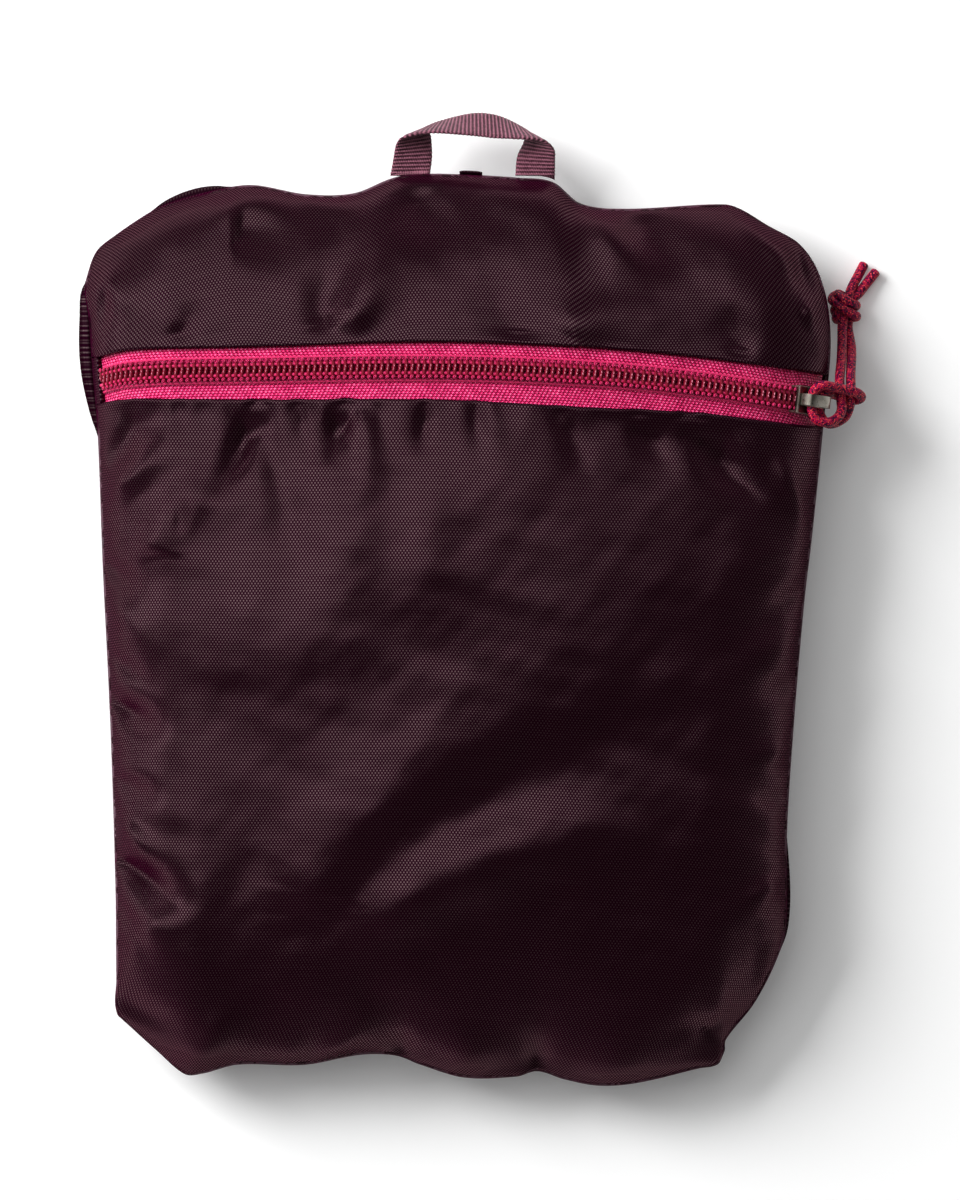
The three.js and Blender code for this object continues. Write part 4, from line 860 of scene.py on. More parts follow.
def blended_grid(sides, across, down):
    """Plan grid blended between four boundary curves, kept just inside the pouch's outline."""
    top, bottom, left, right = sides
    u, v = across[None, :, None], down[:, None, None]
    t, b, l, r = top(across)[None], bottom(across)[None], left(down)[:, None], right(down)[:, None]
    corners = [top(np.array([s]))[0] for s in (0.0, 1.0)] + [bottom(np.array([s]))[0] for s in (0.0, 1.0)]
    grid = t * (1 - v) + b * v + l * (1 - u) + r * u
    grid = grid - corners[0] * (1 - u) * (1 - v) - corners[1] * u * (1 - v)
    grid = grid - corners[2] * (1 - u) * v - corners[3] * u * v
    inner = grid[1:-1, 1:-1]
    x, y = inner[..., 0], inner[..., 1]
    inner[..., 1] = np.clip(y, bottom_y(x) + CLOTH / 2, top_y(x) - CLOTH / 2)
    inner[..., 0] = np.clip(x, left_x(y) + CLOTH / 2, right_x(y) - CLOTH / 2)
    return grid


# Where the top and bottom edges meet the sides
TOP_CORNERS = [x_at(-0.452), x_at(0.455)]
BOTTOM_CORNERS = [x_at(-0.447), x_at(0.359)]


def panel_sides(upper_line, upper_ends, lower_line, lower_ends, proud=0):
    """Boundaries of a panel between an upper line and a lower line given as y over x."""
    def along(line, ends):
        def at(u):
            x = mix(ends[0], ends[1], u)
            return np.stack([x, line(x)], axis=-1)
        return at

    def down(side, end):
        def at(v):
            y = mix(upper_line(upper_ends[end]), lower_line(lower_ends[end]), v)
            return np.stack([side(y, proud), y], axis=-1)
        return at

    return along(upper_line, upper_ends), along(lower_line, lower_ends), down(left_x, 0), down(right_x, 1)


def rolled_shares(length, rolls, roll_steps, middle_steps):
    """Shares from 0 to 1 along a length, spaced by equal angles round the roll at each end."""
    def curl(steps):
        return 1 - np.cos((np.pi / 2) * np.arange(steps) / max(steps, 1))

    start, end = rolls[0] / length, rolls[1] / length
    middle = np.linspace(start, 1 - end, middle_steps + 1)
    return np.concatenate([start * curl(roll_steps[0]), middle, (1 - end * curl(roll_steps[1]))[::-1]])


def gathers(seed, spacing, slant, reach, height, along, inside):
    """Small pleats that start at a sewn edge and fade inwards. Places are seeded."""
    chance = np.random.default_rng(seed)
    low, high = float(np.min(along)), float(np.max(along))
    relief = np.zeros(np.shape(along))
    place = low + spacing * chance.uniform(0.2, 1.0)
    while place < high:
        width = spacing * chance.uniform(0.16, 0.34)
        lean = slant * chance.uniform(-1, 1)
        fade = reach * chance.uniform(0.45, 1.3)
        lift = height * chance.uniform(0.4, 1.0) * chance.choice([-1.0, 1.0])
        offset = (along - place - lean * inside) / (width * (1 + 0.8 * inside / reach))
        relief += lift * np.exp(-(offset**2)) * np.exp(-((inside / fade) ** 2))
        place += spacing * chance.uniform(0.5, 1.5)
    return relief


def soft_noise(seed, x, y, wavelength, count=26):
    """Sum of gentle waves in seeded directions, between about -1 and 1."""
    chance = np.random.default_rng(seed)
    total = np.zeros(np.shape(x))
    for _ in range(count):
        angle = chance.uniform(0, 2 * np.pi)
        k = 2 * np.pi / (wavelength * chance.uniform(0.6, 1.8))
        total += np.cos(k * (x * np.cos(angle) + y * np.sin(angle)) + chance.uniform(0, 2 * np.pi))
    return total / np.sqrt(count)


def on_tape(relief, hem_distance):
    """Relief that fades where it would sink the cloth into the zipper tape."""
    deepest = 0.0009 + np.maximum(hem_distance - TAPE_TUCK - 0.001, 0) * 0.7
    faded = np.where(relief < 0, relief * smooth((hem_distance + 0.0015) / 0.0055), relief)
    return np.maximum(faded, -deepest)


def lower_level(x, y):
    """Outer face of the lower panel: folds, gathers at the hem and sides, and soft crumples."""
    hem = lower_hem_y(x) - y
    edge = inside_edge(x, y)
    sides = np.minimum(x - left_x(y), right_x(y) - x)
    relief = fold_relief(LOWER_FOLDS, x, y)
    relief = relief + gathers(3, 0.0085, 0.30, 0.012, 0.0008, x, np.maximum(hem, 0))
    along = np.where(x < 0, y, y + 1.0)
    relief = relief + edge * gathers(11, 0.011, 0.5, 0.016, 0.0009, along, np.maximum(sides, 0))
    relief = relief + edge * (0.00020 * soft_noise(5, x, y, 0.022) + 0.00006 * soft_noise(15, x, y, 0.009))
    relief = relief + edge * 0.00050 * soft_noise(6, x, y, 0.075)
    return front_level(x, y) + on_tape(relief, hem)


def upper_level(x, y):
    """Outer face of the upper panel: folds and soft crumples."""
    above = y - upper_hem_y(x)
    edge = inside_edge(x, y)
    relief = fold_relief(UPPER_FOLDS, x, y)
    relief = relief + edge * (0.00020 * soft_noise(8, x, y, 0.024) + 0.00006 * soft_noise(18, x, y, 0.009))
    relief = relief + edge * 0.00050 * soft_noise(9, x, y, 0.070)
    return front_level(x, y) + on_tape(relief, above)


def offset_inside(level, grid, outer, seams):
    """Inner face of a cloth wall. Rims that lie on the pouch's seam keep the seam's level."""
    x, y = grid[..., 0], grid[..., 1]
    inner = outer - normal_of(level, x, y) * CLOTH
    inner[..., 2] = np.maximum(inner[..., 2], SEAM_LEVEL)
    rows, columns = grid.shape[:2]
    for column, turn in ((0, 1), (columns - 1, -1)):
        inner[:, column] = outer[:, column] + np.array([turn * CLOTH, 0, 0])
    if seams["top"]:
        inner[0] = outer[0] + np.array([0, -CLOTH, 0])
    if seams["bottom"]:
        inner[-1] = outer[-1] + np.array([0, CLOTH, 0])
    return inner


def cloth_panel(name, sides, across, down, level, seams, replaced):
    """Front panel as a cloth wall over its grid, with its weave laid as if it had no folds."""
    grid = blended_grid(sides, across, down)
    x, y = grid[..., 0], grid[..., 1]
    outer = np.stack([x, y, level(x, y)], axis=-1)
    inner = offset_inside(level, grid, outer, seams)
    bulge = (0.0 if seams["top"] else 1.0, 0.0 if seams["bottom"] else 1.0)
    ring, faces = shell(outer, inner, bulge)
    unfolded = np.stack([x, y, front_level(x, y)], axis=-1)
    uvs = ring_uvs(unfolded, len(ring))
    piece = make_piece(name, ring, faces, PLUM, "pouch_cloth", [replaced], uvs)


def hem_ends(hem):
    """Where a hem meets the two sides of the pouch."""
    return [meet_side(hem, left_x, -WIDTH / 2), meet_side(hem, right_x, WIDTH / 2)]


def front_panels():
    across = rolled_shares(WIDTH, [SIDE_ROLL, SIDE_ROLL], [26, 26], 158)
    sides = panel_sides(lower_hem_y, hem_ends(lower_hem_y), bottom_y, BOTTOM_CORNERS)
    down = rolled_shares(lower_hem_y(0) - BOTTOM_Y, [END_ROLL / 2, END_ROLL], [8, 26], 140)
    cloth_panel(
        "front_lower_cloth", sides, across, down, lower_level, {"top": False, "bottom": True},
        "front_lower_panel",
    )
    sides = panel_sides(top_y, TOP_CORNERS, upper_hem_y, hem_ends(upper_hem_y))
    down = rolled_shares(TOP_Y - upper_hem_y(0), [END_ROLL, 0], [26, 0], 34)
    cloth_panel(
        "front_upper_cloth", sides, across, down, upper_level, {"top": True, "bottom": False},
        "front_upper_panel",
    )


def back_cloth():
    """Back cloth: flat where it lies, rolled up to the seam all round."""
    across = rolled_shares(WIDTH, [UNDER_ROLL, UNDER_ROLL], [18, 18], 90)
    down = rolled_shares(HEIGHT, [UNDER_ROLL, UNDER_ROLL], [18, 18], 100)
    grids = []
    for proud in (1, 0):
        def top(x, proud=proud):
            return top_y(x, proud)
        sides = panel_sides(top, TOP_CORNERS, bottom_y, BOTTOM_CORNERS, proud)
        grids.append(blended_grid(sides, across, down))
    grid, plain = grids
    x, y = grid[..., 0], grid[..., 1]
    side = np.minimum(x - left_x(y, 1), right_x(y, 1) - x)
    end = np.minimum(top_y(x, 1) - y, y - bottom_y(x))
    rim = np.minimum(side, end)
    along = np.where(side < end, y + np.where(x < 0, 0.0, 1.0), x + np.where(y < 0, 2.0, 3.0))
    pucker = gathers(21, 0.014, 0.4, 0.014, 0.0010, along, np.maximum(rim, 0))
    level = back_level(x, y)
    level = level + np.abs(pucker) * smooth(rim / 0.004) * smooth(level / 0.003)
    outer = np.stack([x, y, level], axis=-1)
    inner = outer + normal_of(back_level, x, y) * CLOTH
    inner[..., 2] = np.minimum(inner[..., 2], SEAM_LEVEL - GAP)
    rows, columns = grid.shape[:2]
    every = slice(None)
    for rows_at, columns_at, inward in (
        (every, 0, (1, 0)), (every, columns - 1, (-1, 0)), (0, every, (0, -1)), (rows - 1, every, (0, 1)),
    ):
        edge = plain[rows_at, columns_at]
        inner[rows_at, columns_at, :2] = edge + np.array(inward) * CLOTH
        inner[rows_at, columns_at, 2] = SEAM_LEVEL - GAP
    ring, faces = shell(outer, inner, (0.0, 0.0))
    uvs = ring_uvs(outer, len(ring))
    piece = make_piece("back_cloth", ring, flipped(faces), BACK_PLUM, "back_cloth", ["back_panel"], uvs)


def seam_edge():
    """Turned seam allowance all round the outline, where the front and back cloths meet."""
    shares = np.linspace(0, 1, 240)
    back = shares[::-1]
    top, bottom, left, right = panel_sides(top_y, TOP_CORNERS, bottom_y, BOTTOM_CORNERS)
    outline = np.concatenate([top(shares[:-1]), right(shares[:-1]), bottom(back)[:-1], left(back)[:-1]])
    closed = np.vstack([outline, outline[:1]])
    travelled = run_length(closed)
    places = np.linspace(0, travelled[-1], 1500)[:-1]
    x, y = (np.interp(places, travelled, closed[:, k]) for k in (0, 1))
    heading = unit(np.stack([np.roll(x, -3) - np.roll(x, 3), np.roll(y, -3) - np.roll(y, 3)], axis=-1))
    inward = np.stack([heading[:, 1], -heading[:, 0]], axis=-1)
    high = np.maximum(front_level(x, y), SEAM_LEVEL)
    plan = np.stack([x, y], axis=-1) + inward * SEAM_EDGE
    middle = np.c_[plan, (high + SEAM_LEVEL - GAP) / 2]
    half_height = (high - SEAM_LEVEL + GAP) / 2
    turns = 2 * np.pi * np.arange(12) / 12
    across = np.concatenate([inward, np.zeros((len(x), 1))], axis=-1)
    ring = middle[:, None] + across[:, None] * (SEAM_EDGE * np.cos(turns))[None, :, None]
    ring[..., 2] += half_height[:, None] * np.sin(turns)
    faces = grid_faces(len(x), 12, closed_rows=True, closed_columns=True)
    around = 12 * np.abs(turns / np.pi - 1) * SEAM_EDGE
    uvs = np.stack(np.broadcast_arrays(places[:, None] * 1000, around * 1000), axis=-1)
    make_piece("seam_edge", ring, faces, BACK_PLUM, "back_cloth", (), uvs)


def rim_of(grid):
    """The grid's outermost entries, in order round it."""
    return np.concatenate([grid[0, :-1], grid[:-1, -1], grid[-1, :0:-1], grid[:0:-1, 0]])


def folded_pack():
    """The rest of the bag, folded into layers that show as ridges round its sides."""
    steps = 61
    shares = np.linspace(0, 1, steps)
    full = blended_grid(panel_sides(top_y, TOP_CORNERS, bottom_y, BOTTOM_CORNERS), shares, shares)
    middle = np.array([0, (TOP_Y + BOTTOM_Y) / 2])
    half = np.array([WIDTH / 2, HEIGHT / 2])
    grid = (full - middle) * ((half - PACK_INSET) / half) + middle
    x, y = grid[..., 0], grid[..., 1]
    creases = np.minimum(fold_relief(LOWER_FOLDS, x, y) + fold_relief(UPPER_FOLDS, x, y), 0)
    top = front_level(x, y) + creases * 1.3 - PACK_CLEARANCE + 0.0008 * soft_noise(31, x, y, 0.05)
    floor = back_level(x, y) + CLOTH + GAP * 1.5
    levels = []
    for k in range(PACK_LAYERS + 1):
        t = k / PACK_LAYERS
        inset = 1 - 0.03 * (k % 2)
        plan = (grid - middle) * inset + middle
        height = mix(floor, top, 0.06 + 0.86 * t)
        levels.append(np.concatenate([plan, height[..., None]], axis=-1))
    walls = np.array([rim_of(level) for level in levels])
    count = walls.shape[1]
    points = [walls.reshape(-1, 3)]
    faces = grid_faces(len(levels), count, closed_columns=True)
    start = len(levels) * count
    for index, heights in ((0, floor), (len(levels) - 1, top)):
        inside = np.concatenate([grid, heights[..., None]], axis=-1)
        ring = rim_of(np.arange(steps**2).reshape(steps, steps) + start)
        points.append(inside.reshape(-1, 3))
        cap = grid_faces(steps, steps, start)
        faces.extend(cap if index == 0 else flipped(cap))
        for k in range(count):
            a, b = index * count + k, index * count + (k + 1) % count
            c, d = int(ring[(k + 1) % count]), int(ring[k])
            faces.append([b, a, d, c] if index == 0 else [a, b, c, d])
        start += steps**2
    points = np.concatenate(points)
    uvs = points[:, :2] * 1000
    piece = make_piece("folded_pack_soft", points, faces, BACK_PLUM, "packed_cloth", ["folded_pack"], uvs)


def band_point(x, offset, height):
    """Point of the zipper band: a place across, an offset from the chain's line and a height."""
    x, offset, height = np.broadcast_arrays(np.asarray(x, float), offset, height)
    y = chain_y(x) + offset
    base = np.stack([x, y, front_level(x, y)], axis=-1)
    return base + normal_of(front_level, x, y) * height[..., None]


BAND_LEFT = meet_side(chain_y, left_x, -WIDTH / 2)
BAND_RIGHT = meet_side(chain_y, right_x, WIDTH / 2)
CHAIN_START = BAND_LEFT + END_TAB_WIDTH + GAP
SLIDER_X = BAND_RIGHT - SLIDER_LENGTH * 0.5
POST_START = SLIDER_LENGTH * 0.08
CHAIN_END = SLIDER_X + POST_START * 0.5


def chain_places(start, end, step):
    """Places across the pouch, evenly spaced along the chain as it runs over the shoulders."""
    x = np.linspace(start, end, 4000)
    travelled = run_length(band_point(x, 0.0, 0.0))
    return np.interp(np.arange(0, travelled[-1], step), travelled, x)


def zipper_tape(side):
    """Woven tape: a ribbon that lies under the hem and beside the chain."""
    across = rolled_shares(WIDTH, [SIDE_ROLL, SIDE_ROLL], [40, 40], 300)
    rows = np.linspace(0, 1, 15)
    layers = []
    for height in (TAPE_TOP, TAPE_BOTTOM):
        lines = []
        for t in rows:
            def line(x, t=t):
                return chain_y(x) + side * TAPE_REACH * t
            start = meet_side(line, left_x, -WIDTH / 2) + END_TAB_WIDTH / 2
            end = meet_side(line, right_x, WIDTH / 2) - GAP
            x = mix(start, end, across)
            spread = smooth((x - SLIDER_X + SLIDER_LENGTH / 2) / (SLIDER_LENGTH / 2))
            parting = mix(TAPE_PARTING / 2, SLIDER_POST_WIDTH / 2 + GAP * 1.5, spread)
            hem_share = above_share if side > 0 else below_share
            reach = hem_share(x / WIDTH) * HEIGHT + TAPE_TUCK
            lines.append(band_point(x, side * mix(parting, reach, t), height))
        layers.append(np.array(lines))
    ring, faces = shell(layers[0], layers[1], (0.6, 0.6))
    name = "upper" if side > 0 else "lower"
    make_piece(
        f"zipper_tape_{name}_woven", ring, faces if side < 0 else flipped(faces), TAPE_PINK,
        "zipper_tape", [f"zipper_tape_{name}"], ring_uvs(layers[0], len(ring)),
    )


# One tooth of the chain in the plane across it: offset and height from the tape's edge inwards,
# in shares of half the chain's width and of its height
TOOTH_LINE = [
    (0.80, 0.20), (0.82, 0.38), (0.74, 0.56), (0.56, 0.66), (0.32, 0.70), (0.10, 0.68),
    (-0.06, 0.58), (-0.12, 0.44), (-0.08, 0.30), (0.12, 0.24), (0.50, 0.24),
]
TOOTH_RADIUS = 0.00050

# Sewing along the chain: places as shares of its width from the middle, and thread radii
CORE_PLACE = 0.26
CORE_RADIUS = 0.00045
STITCH_PLACE = 0.455
EDGE_PLACE = 0.60
EDGE_RADIUS = 0.00032

# Half sizes of a stitch over the chain: along it, across it and out from it
STITCH_UPPER = (0.00050, 0.00062, 0.00040)
STITCH_LOWER = (0.00056, 0.00052, 0.00042)

# Half sizes of the bead at a tooth's head, whose pale colour is a painted glint, and its place as a share of
# half the chain's width
TOOTH_HEAD = (0.00017, 0.00036, 0.00020)
HEAD_PLACE = 0.15


UP_THE_POUCH = np.array([[0.0, 1.0, 0.0]])


def tubes_across(paths, sideways, radius, sides):
    """Round wires along many short paths at once, each closed at its ends."""
    along = unit(np.gradient(paths, axis=1))
    side = sideways[:, None, :] - along * np.sum(sideways[:, None, :] * along, axis=-1, keepdims=True)
    side = unit(side)
    other = np.cross(along, side)
    turns = 2 * np.pi * np.arange(sides) / sides
    ring = side[:, :, None] * np.cos(turns)[:, None] + other[:, :, None] * np.sin(turns)[:, None]
    points = paths[:, :, None] + ring * radius
    count, steps = paths.shape[:2]
    faces = []
    for k in range(count):
        start = k * steps * sides
        faces.extend(grid_faces(steps, sides, start, closed_columns=True))
        faces.append(list(range(start, start + sides)))
        faces.append(list(range(start + (steps - 1) * sides, start + steps * sides))[::-1])
    return points.reshape(-1, 3), faces


def ellipsoids(centres, axes, rings=6, sides=8):
    """Many small beads at once. axes holds three half axes for each bead."""
    lift = np.pi * (np.arange(1, rings) / rings - 0.5)
    turns = 2 * np.pi * np.arange(sides) / sides
    unit_points = [(0, 0, -1.0)]
    for angle in lift:
        out, up = math.cos(angle), math.sin(angle)
        unit_points += [(out * math.cos(t), out * math.sin(t), up) for t in turns]
    unit_points.append((0, 0, 1.0))
    unit_points = np.array(unit_points)
    points = centres[:, None, :] + np.einsum("pk,nkc->npc", unit_points, axes)
    faces = []
    size = len(unit_points)
    for n in range(len(centres)):
        start = n * size
        for j in range(sides):
            faces.append([start, start + 1 + (j + 1) % sides, start + 1 + j])
        faces.extend(flipped(grid_faces(rings - 1, sides, start + 1, closed_columns=True)))
        for j in range(sides):
            last = start + 1 + (rings - 2) * sides
            faces.append([start + size - 1, last + j, last + (j + 1) % sides])
    return points.reshape(-1, 3), faces


def zipper_coil(side):
    """Half of the closed chain: looped teeth with the sewing that holds them to the tape."""
    phase = 0.0 if side > 0 else TOOTH_PITCH / 2
    places = chain_places(CHAIN_START + 0.0004 + phase, CHAIN_END, TOOTH_PITCH)
    line = catmull_rom(np.array(TOOTH_LINE), np.linspace(0, 1, 17))
    offsets = side * line[:, 0] * CHAIN_WIDTH / 2
    heights = CHAIN_BOTTOM + line[:, 1] * CHAIN_HEIGHT
    slant = 0.00012 * np.linspace(-1, 1, len(line))
    paths = band_point(places[:, None] + slant[None], offsets[None], heights[None])
    near = TOOTH_PITCH / 4
    along = unit(band_point(places + near, 0.0, 0.0) - band_point(places - near, 0.0, 0.0))
    name = "upper" if side > 0 else "lower"

    def sewn(part, mesh, material, replaced=()):
        make_piece(f"zipper_{part}", *mesh, material, "zipper_coil", replaced)

    teeth = tubes_across(paths, along, TOOTH_RADIUS, 10)
    sewn(f"coil_{name}_teeth", teeth, SHADE_DARKENED_NYLON, [f"zipper_coil_{name}"])
    steps = chain_places(CHAIN_START, CHAIN_END, TOOTH_PITCH / 2)
    core = band_point(steps, side * CHAIN_WIDTH * CORE_PLACE, CHAIN_BOTTOM + CHAIN_HEIGHT / 2)[None]
    sewn(f"cord_{name}", tubes_across(core, UP_THE_POUCH, CORE_RADIUS, 10), THREAD)
    offset = side * CHAIN_WIDTH * STITCH_PLACE
    out = normal_of(front_level, places, chain_y(places) + offset)
    across = np.cross(out, along)
    width, reach, lift = STITCH_UPPER if side > 0 else STITCH_LOWER
    axes = np.stack([along * width + across * 0.00010, across * reach, out * lift], axis=1)
    centres = band_point(places, offset, CHAIN_TOP - 0.00012)
    sewn(f"stitches_{name}", ellipsoids(centres, axes), THREAD)
    # Beads at the teeth's heads, coloured pale as painted glints
    width, reach, lift = TOOTH_HEAD
    top = CHAIN_BOTTOM + 0.70 * CHAIN_HEIGHT + TOOTH_RADIUS
    centres = band_point(places, side * CHAIN_WIDTH / 2 * HEAD_PLACE, top - lift * 0.4)
    axes = np.stack([along * width, across * reach, out * lift], axis=1)
    sewn(f"heads_{name}", ellipsoids(centres, axes), GLINT_PAINTED_HEADS)
    edge = band_point(steps, side * CHAIN_WIDTH * EDGE_PLACE, TAPE_TOP + 0.00034)[None]
    sewn(f"edge_{name}", tubes_across(edge, UP_THE_POUCH, EDGE_RADIUS, 8), THREAD)


def end_tab():
    """Dark cloth tab over the left end of the tapes, between the hems of the two panels."""
    shares = np.linspace(0, 1, 25)
    v, u = np.meshgrid(shares, shares, indexing="ij")
    x = np.full(u.shape, BAND_LEFT)
    y = chain_y(x)
    for _ in range(8):
        y = mix(upper_hem_y(x) - GAP * 1.5, lower_hem_y(x) + GAP * 1.5, v)
        x = left_x(y) + END_TAB_WIDTH * u * u
    outer = np.stack([x, y, front_level(x, y)], axis=-1)
    normal = normal_of(front_level, x, y)
    normal[:, 0] = (-1, 0, 0)
    inner = outer - normal * CLOTH
    ring, faces = shell(outer, inner, (0.0, 0.0))
    uvs = ring_uvs(outer, len(ring))
    make_piece("zipper_end_tab_cloth", ring, faces, BACK_PLUM, "pouch_cloth", ["zipper_end_tab"], uvs)


def slider_frame():
    """Axes of the slider: along the chain, across it and out from the cloth, with its origin."""
    reach = SLIDER_LENGTH / 4
    along = unit(band_point(SLIDER_X + reach, 0.0, 0.0) - band_point(SLIDER_X - reach, 0.0, 0.0))
    out = normal_of(front_level, np.float64(SLIDER_X), chain_y(SLIDER_X))
    across = unit(np.cross(out, along))
    out = np.cross(along, across)
    return np.stack([along, across, out]), band_point(SLIDER_X, 0.0, 0.0)


def extruded(outline, low, high):
    """Points and faces of an outline given a thickness along Z."""
    outline = np.array(outline, float)
    count = len(outline)
    points = np.concatenate([np.c_[outline, np.full(count, low)], np.c_[outline, np.full(count, high)]])
    faces = [list(range(count))[::-1], list(range(count, 2 * count))]
    faces += [[k, (k + 1) % count, (k + 1) % count + count, k + count] for k in range(count)]
    return points, faces


def zipper_slider():
    """Metal slider: two winged plates joined by a post, rims beside the chain and a bridge."""
    half, tail, shoulder = SLIDER_LENGTH / 2, SLIDER_TAIL_WIDTH / 2, SLIDER_SHOULDER_WIDTH / 2
    plate_low = CHAIN_TOP + GAP
    plate_high = plate_low + SLIDER_PLATE
    sole_high = TAPE_BOTTOM - GAP - SLIDER_BEND_ROOM
    sole_low = sole_high - SLIDER_PLATE
    wing = [
        (-half * 0.35, -tail), (-half * 0.16, -tail * 1.02), (half * 0.02, -shoulder * 0.90),
        (half * 0.20, -shoulder), (half * 0.46, -shoulder), (half * 0.66, -shoulder * 0.92),
        (half * 0.84, -tail * 0.9), (half, -tail * 0.6), (half, 0.0),
    ]
    mirrored = [(x, -y) for x, y in wing[-2::-1]]
    outline = [(-half, -tail), (-half * 0.6, -tail)] + wing + mirrored + [(-half * 0.6, tail), (-half, tail)]
    parts = [
        extruded(outline, plate_low, plate_high),
        extruded([(x, y * 0.9) for x, y in outline], sole_low, sole_high),
    ]
    post = half - POST_START - 0.0006
    box = [(POST_START, -SLIDER_POST_WIDTH / 2), (POST_START + post, -SLIDER_POST_WIDTH / 2),
           (POST_START + post, SLIDER_POST_WIDTH / 2), (POST_START, SLIDER_POST_WIDTH / 2)]
    parts.append(extruded(box, sole_low, plate_high))
    rim_width = (SLIDER_TAIL_WIDTH - CHAIN_WIDTH) / 2 - GAP
    for side in (1, -1):
        a, b = sorted([side * tail, side * (tail - rim_width)])
        rim = [(-half, a), (half * 0.2, a), (half * 0.2, b), (-half, b)]
        parts.append(extruded(rim, CHAIN_BOTTOM, plate_high - SLIDER_PLATE * 0.3))
    # Front lip in the brighter copy: a painted highlight along the plate's front edge
    lip = [(-half, -tail), (-half + 0.0006, -tail), (-half + 0.0006, tail), (-half, tail)]
    parts.append(extruded(lip, plate_high - 0.0002, plate_high + 0.00025))
    reach = SLIDER_LENGTH * 0.42
    inside, outside, sink = BRIDGE_INSIDE, BRIDGE_INSIDE + BRIDGE_BAR, SLIDER_PLATE / 2
    arch_outer = catmull_rom(np.array([
        (-reach, -sink), (-reach, outside * 0.55), (-reach * 0.92, outside * 0.86),
        (-reach * 0.66, outside * 0.99), (0.0, outside * 1.03), (reach * 0.62, outside * 0.98),
        (reach * 0.90, outside * 0.82),
        (reach, outside * 0.5), (reach, -sink),
    ]), np.linspace(0, 1, 41))
    arch_inner = catmull_rom(np.array([
        (reach - BRIDGE_BAR, -sink), (reach - BRIDGE_BAR, inside * 0.55), (reach * 0.60, inside * 0.93),
        (0.0, inside), (-reach * 0.60, inside * 0.95), (-reach + BRIDGE_BAR, inside * 0.6),
        (-reach + BRIDGE_BAR, -sink),
    ]), np.linspace(0, 1, 31))
    arch = np.concatenate([arch_outer, arch_inner])
    points, faces = extruded(arch, -BRIDGE_WIDTH / 2, BRIDGE_WIDTH / 2)
    points = np.c_[points[:, 0], points[:, 2], points[:, 1] + plate_high]
    count = len(arch)
    outer_count, inner_count = len(arch_outer), len(arch_inner)
    sides = []
    matched = np.round(np.linspace(0, inner_count - 1, outer_count)).astype(int)
    for layer in (0, count):
        for k in range(outer_count - 1):
            a, b = k + layer, k + 1 + layer
            c = outer_count + (inner_count - 1 - matched[k + 1]) + layer
            d = outer_count + (inner_count - 1 - matched[k]) + layer
            quad = [a, b, c, d] if c != d else [a, b, c]
            sides.append(quad[::-1] if layer else quad)
    parts.append((points, sides + faces[2:]))
    axes, origin = slider_frame()
    # The top plate takes the darker copy as painted shade; the other parts take the brighter copy as painted
    # highlight
    for k, (name, width, metal) in enumerate((
        ("plate", 0.00022, SHADE_PAINTED_NICKEL), ("sole", 0.0002, HIGHLIGHT_PAINTED_NICKEL), ("post", 0.0001, HIGHLIGHT_PAINTED_NICKEL),
        ("rim_a", 0.0001, HIGHLIGHT_PAINTED_NICKEL), ("rim_b", 0.0001, HIGHLIGHT_PAINTED_NICKEL), ("lip", 0.00012, HIGHLIGHT_PAINTED_NICKEL),
        ("bridge", 0.00016, HIGHLIGHT_PAINTED_NICKEL),
    )):
        points, faces = parts[k]
        piece = make_piece(
            f"slider_{name}", points @ axes + origin, faces, metal, "slider_metal",
            ["zipper_slider"] if k == 0 else (),
        )
        bevel = piece.modifiers.new("edges", "BEVEL")
        bevel.width = width
        bevel.segments = 3
        bevel.limit_method = "ANGLE"
        bevel.angle_limit = math.radians(40)
        bevel.harden_normals = True


def cord_tube(name, points, replaced):
    """Braided tube with its strands in relief, and melted ends."""
    path, length = even_path(points, 0.00016)
    tangents = unit(np.gradient(path, axis=0))
    normal = unit(np.cross(tangents[0], np.array([0.0, 0.0, 1.0])))
    normals = []
    for tangent in tangents:
        normal = unit(normal - tangent * (normal @ tangent))
        normals.append(normal)
    normals = np.array(normals)
    others = np.cross(tangents, normals)
    sides = 72
    turn = np.arange(sides) / sides
    s = np.linspace(0, length, len(path))
    a = 2 * s[:, None] / BRAID_CELL + turn * BRAID_STRANDS / 2
    b = 2 * s[:, None] / BRAID_CELL - turn * BRAID_STRANDS / 2
    relief = np.abs(np.cos(np.pi * a) * np.cos(np.pi * b))
    radius = CORD_DIAMETER / 2 * (0.95 + 0.12 * relief)
    end = np.clip((length - s) / 0.0006, 0, 1)[:, None]
    radius = radius * np.sqrt(1 - (1 - end) ** 2 * 0.75)
    angle = 2 * np.pi * turn[:, None]
    ring = normals[:, None] * np.cos(angle) + others[:, None] * np.sin(angle)
    tube = path[:, None] + ring * radius[..., None]
    count = len(path)
    faces = grid_faces(count, sides, closed_columns=True)
    faces += [list(range(sides)), list(range((count - 1) * sides, count * sides))[::-1]]
    uvs = np.stack(np.broadcast_arrays(s[:, None] * 1000, turn[None] * 1.0), axis=-1)
    piece = make_piece(name, tube, faces, BRAID, "cord", replaced, uvs)
    # One turn more where a face closes the tube, so that the braid doesn't run backwards there
    loops = np.zeros(len(piece.data.loops) * 2, np.float32)
    layer = piece.data.uv_layers["cloth"].data
    layer.foreach_get("uv", loops)
    loops = loops.reshape(-1, 2)
    starts = np.zeros(len(piece.data.polygons), np.int32)
    piece.data.polygons.foreach_get("loop_start", starts)
    quads = starts[: (count - 1) * sides][:, None] + np.arange(4)
    turns = loops[quads, 1]
    seam = (turns.max(axis=1) - turns.min(axis=1)) > 0.5
    turns[seam] = np.where(turns[seam] < 0.5, turns[seam] + 1, turns[seam])
    loops[quads, 1] = turns
    layer.foreach_set("uv", loops.ravel())


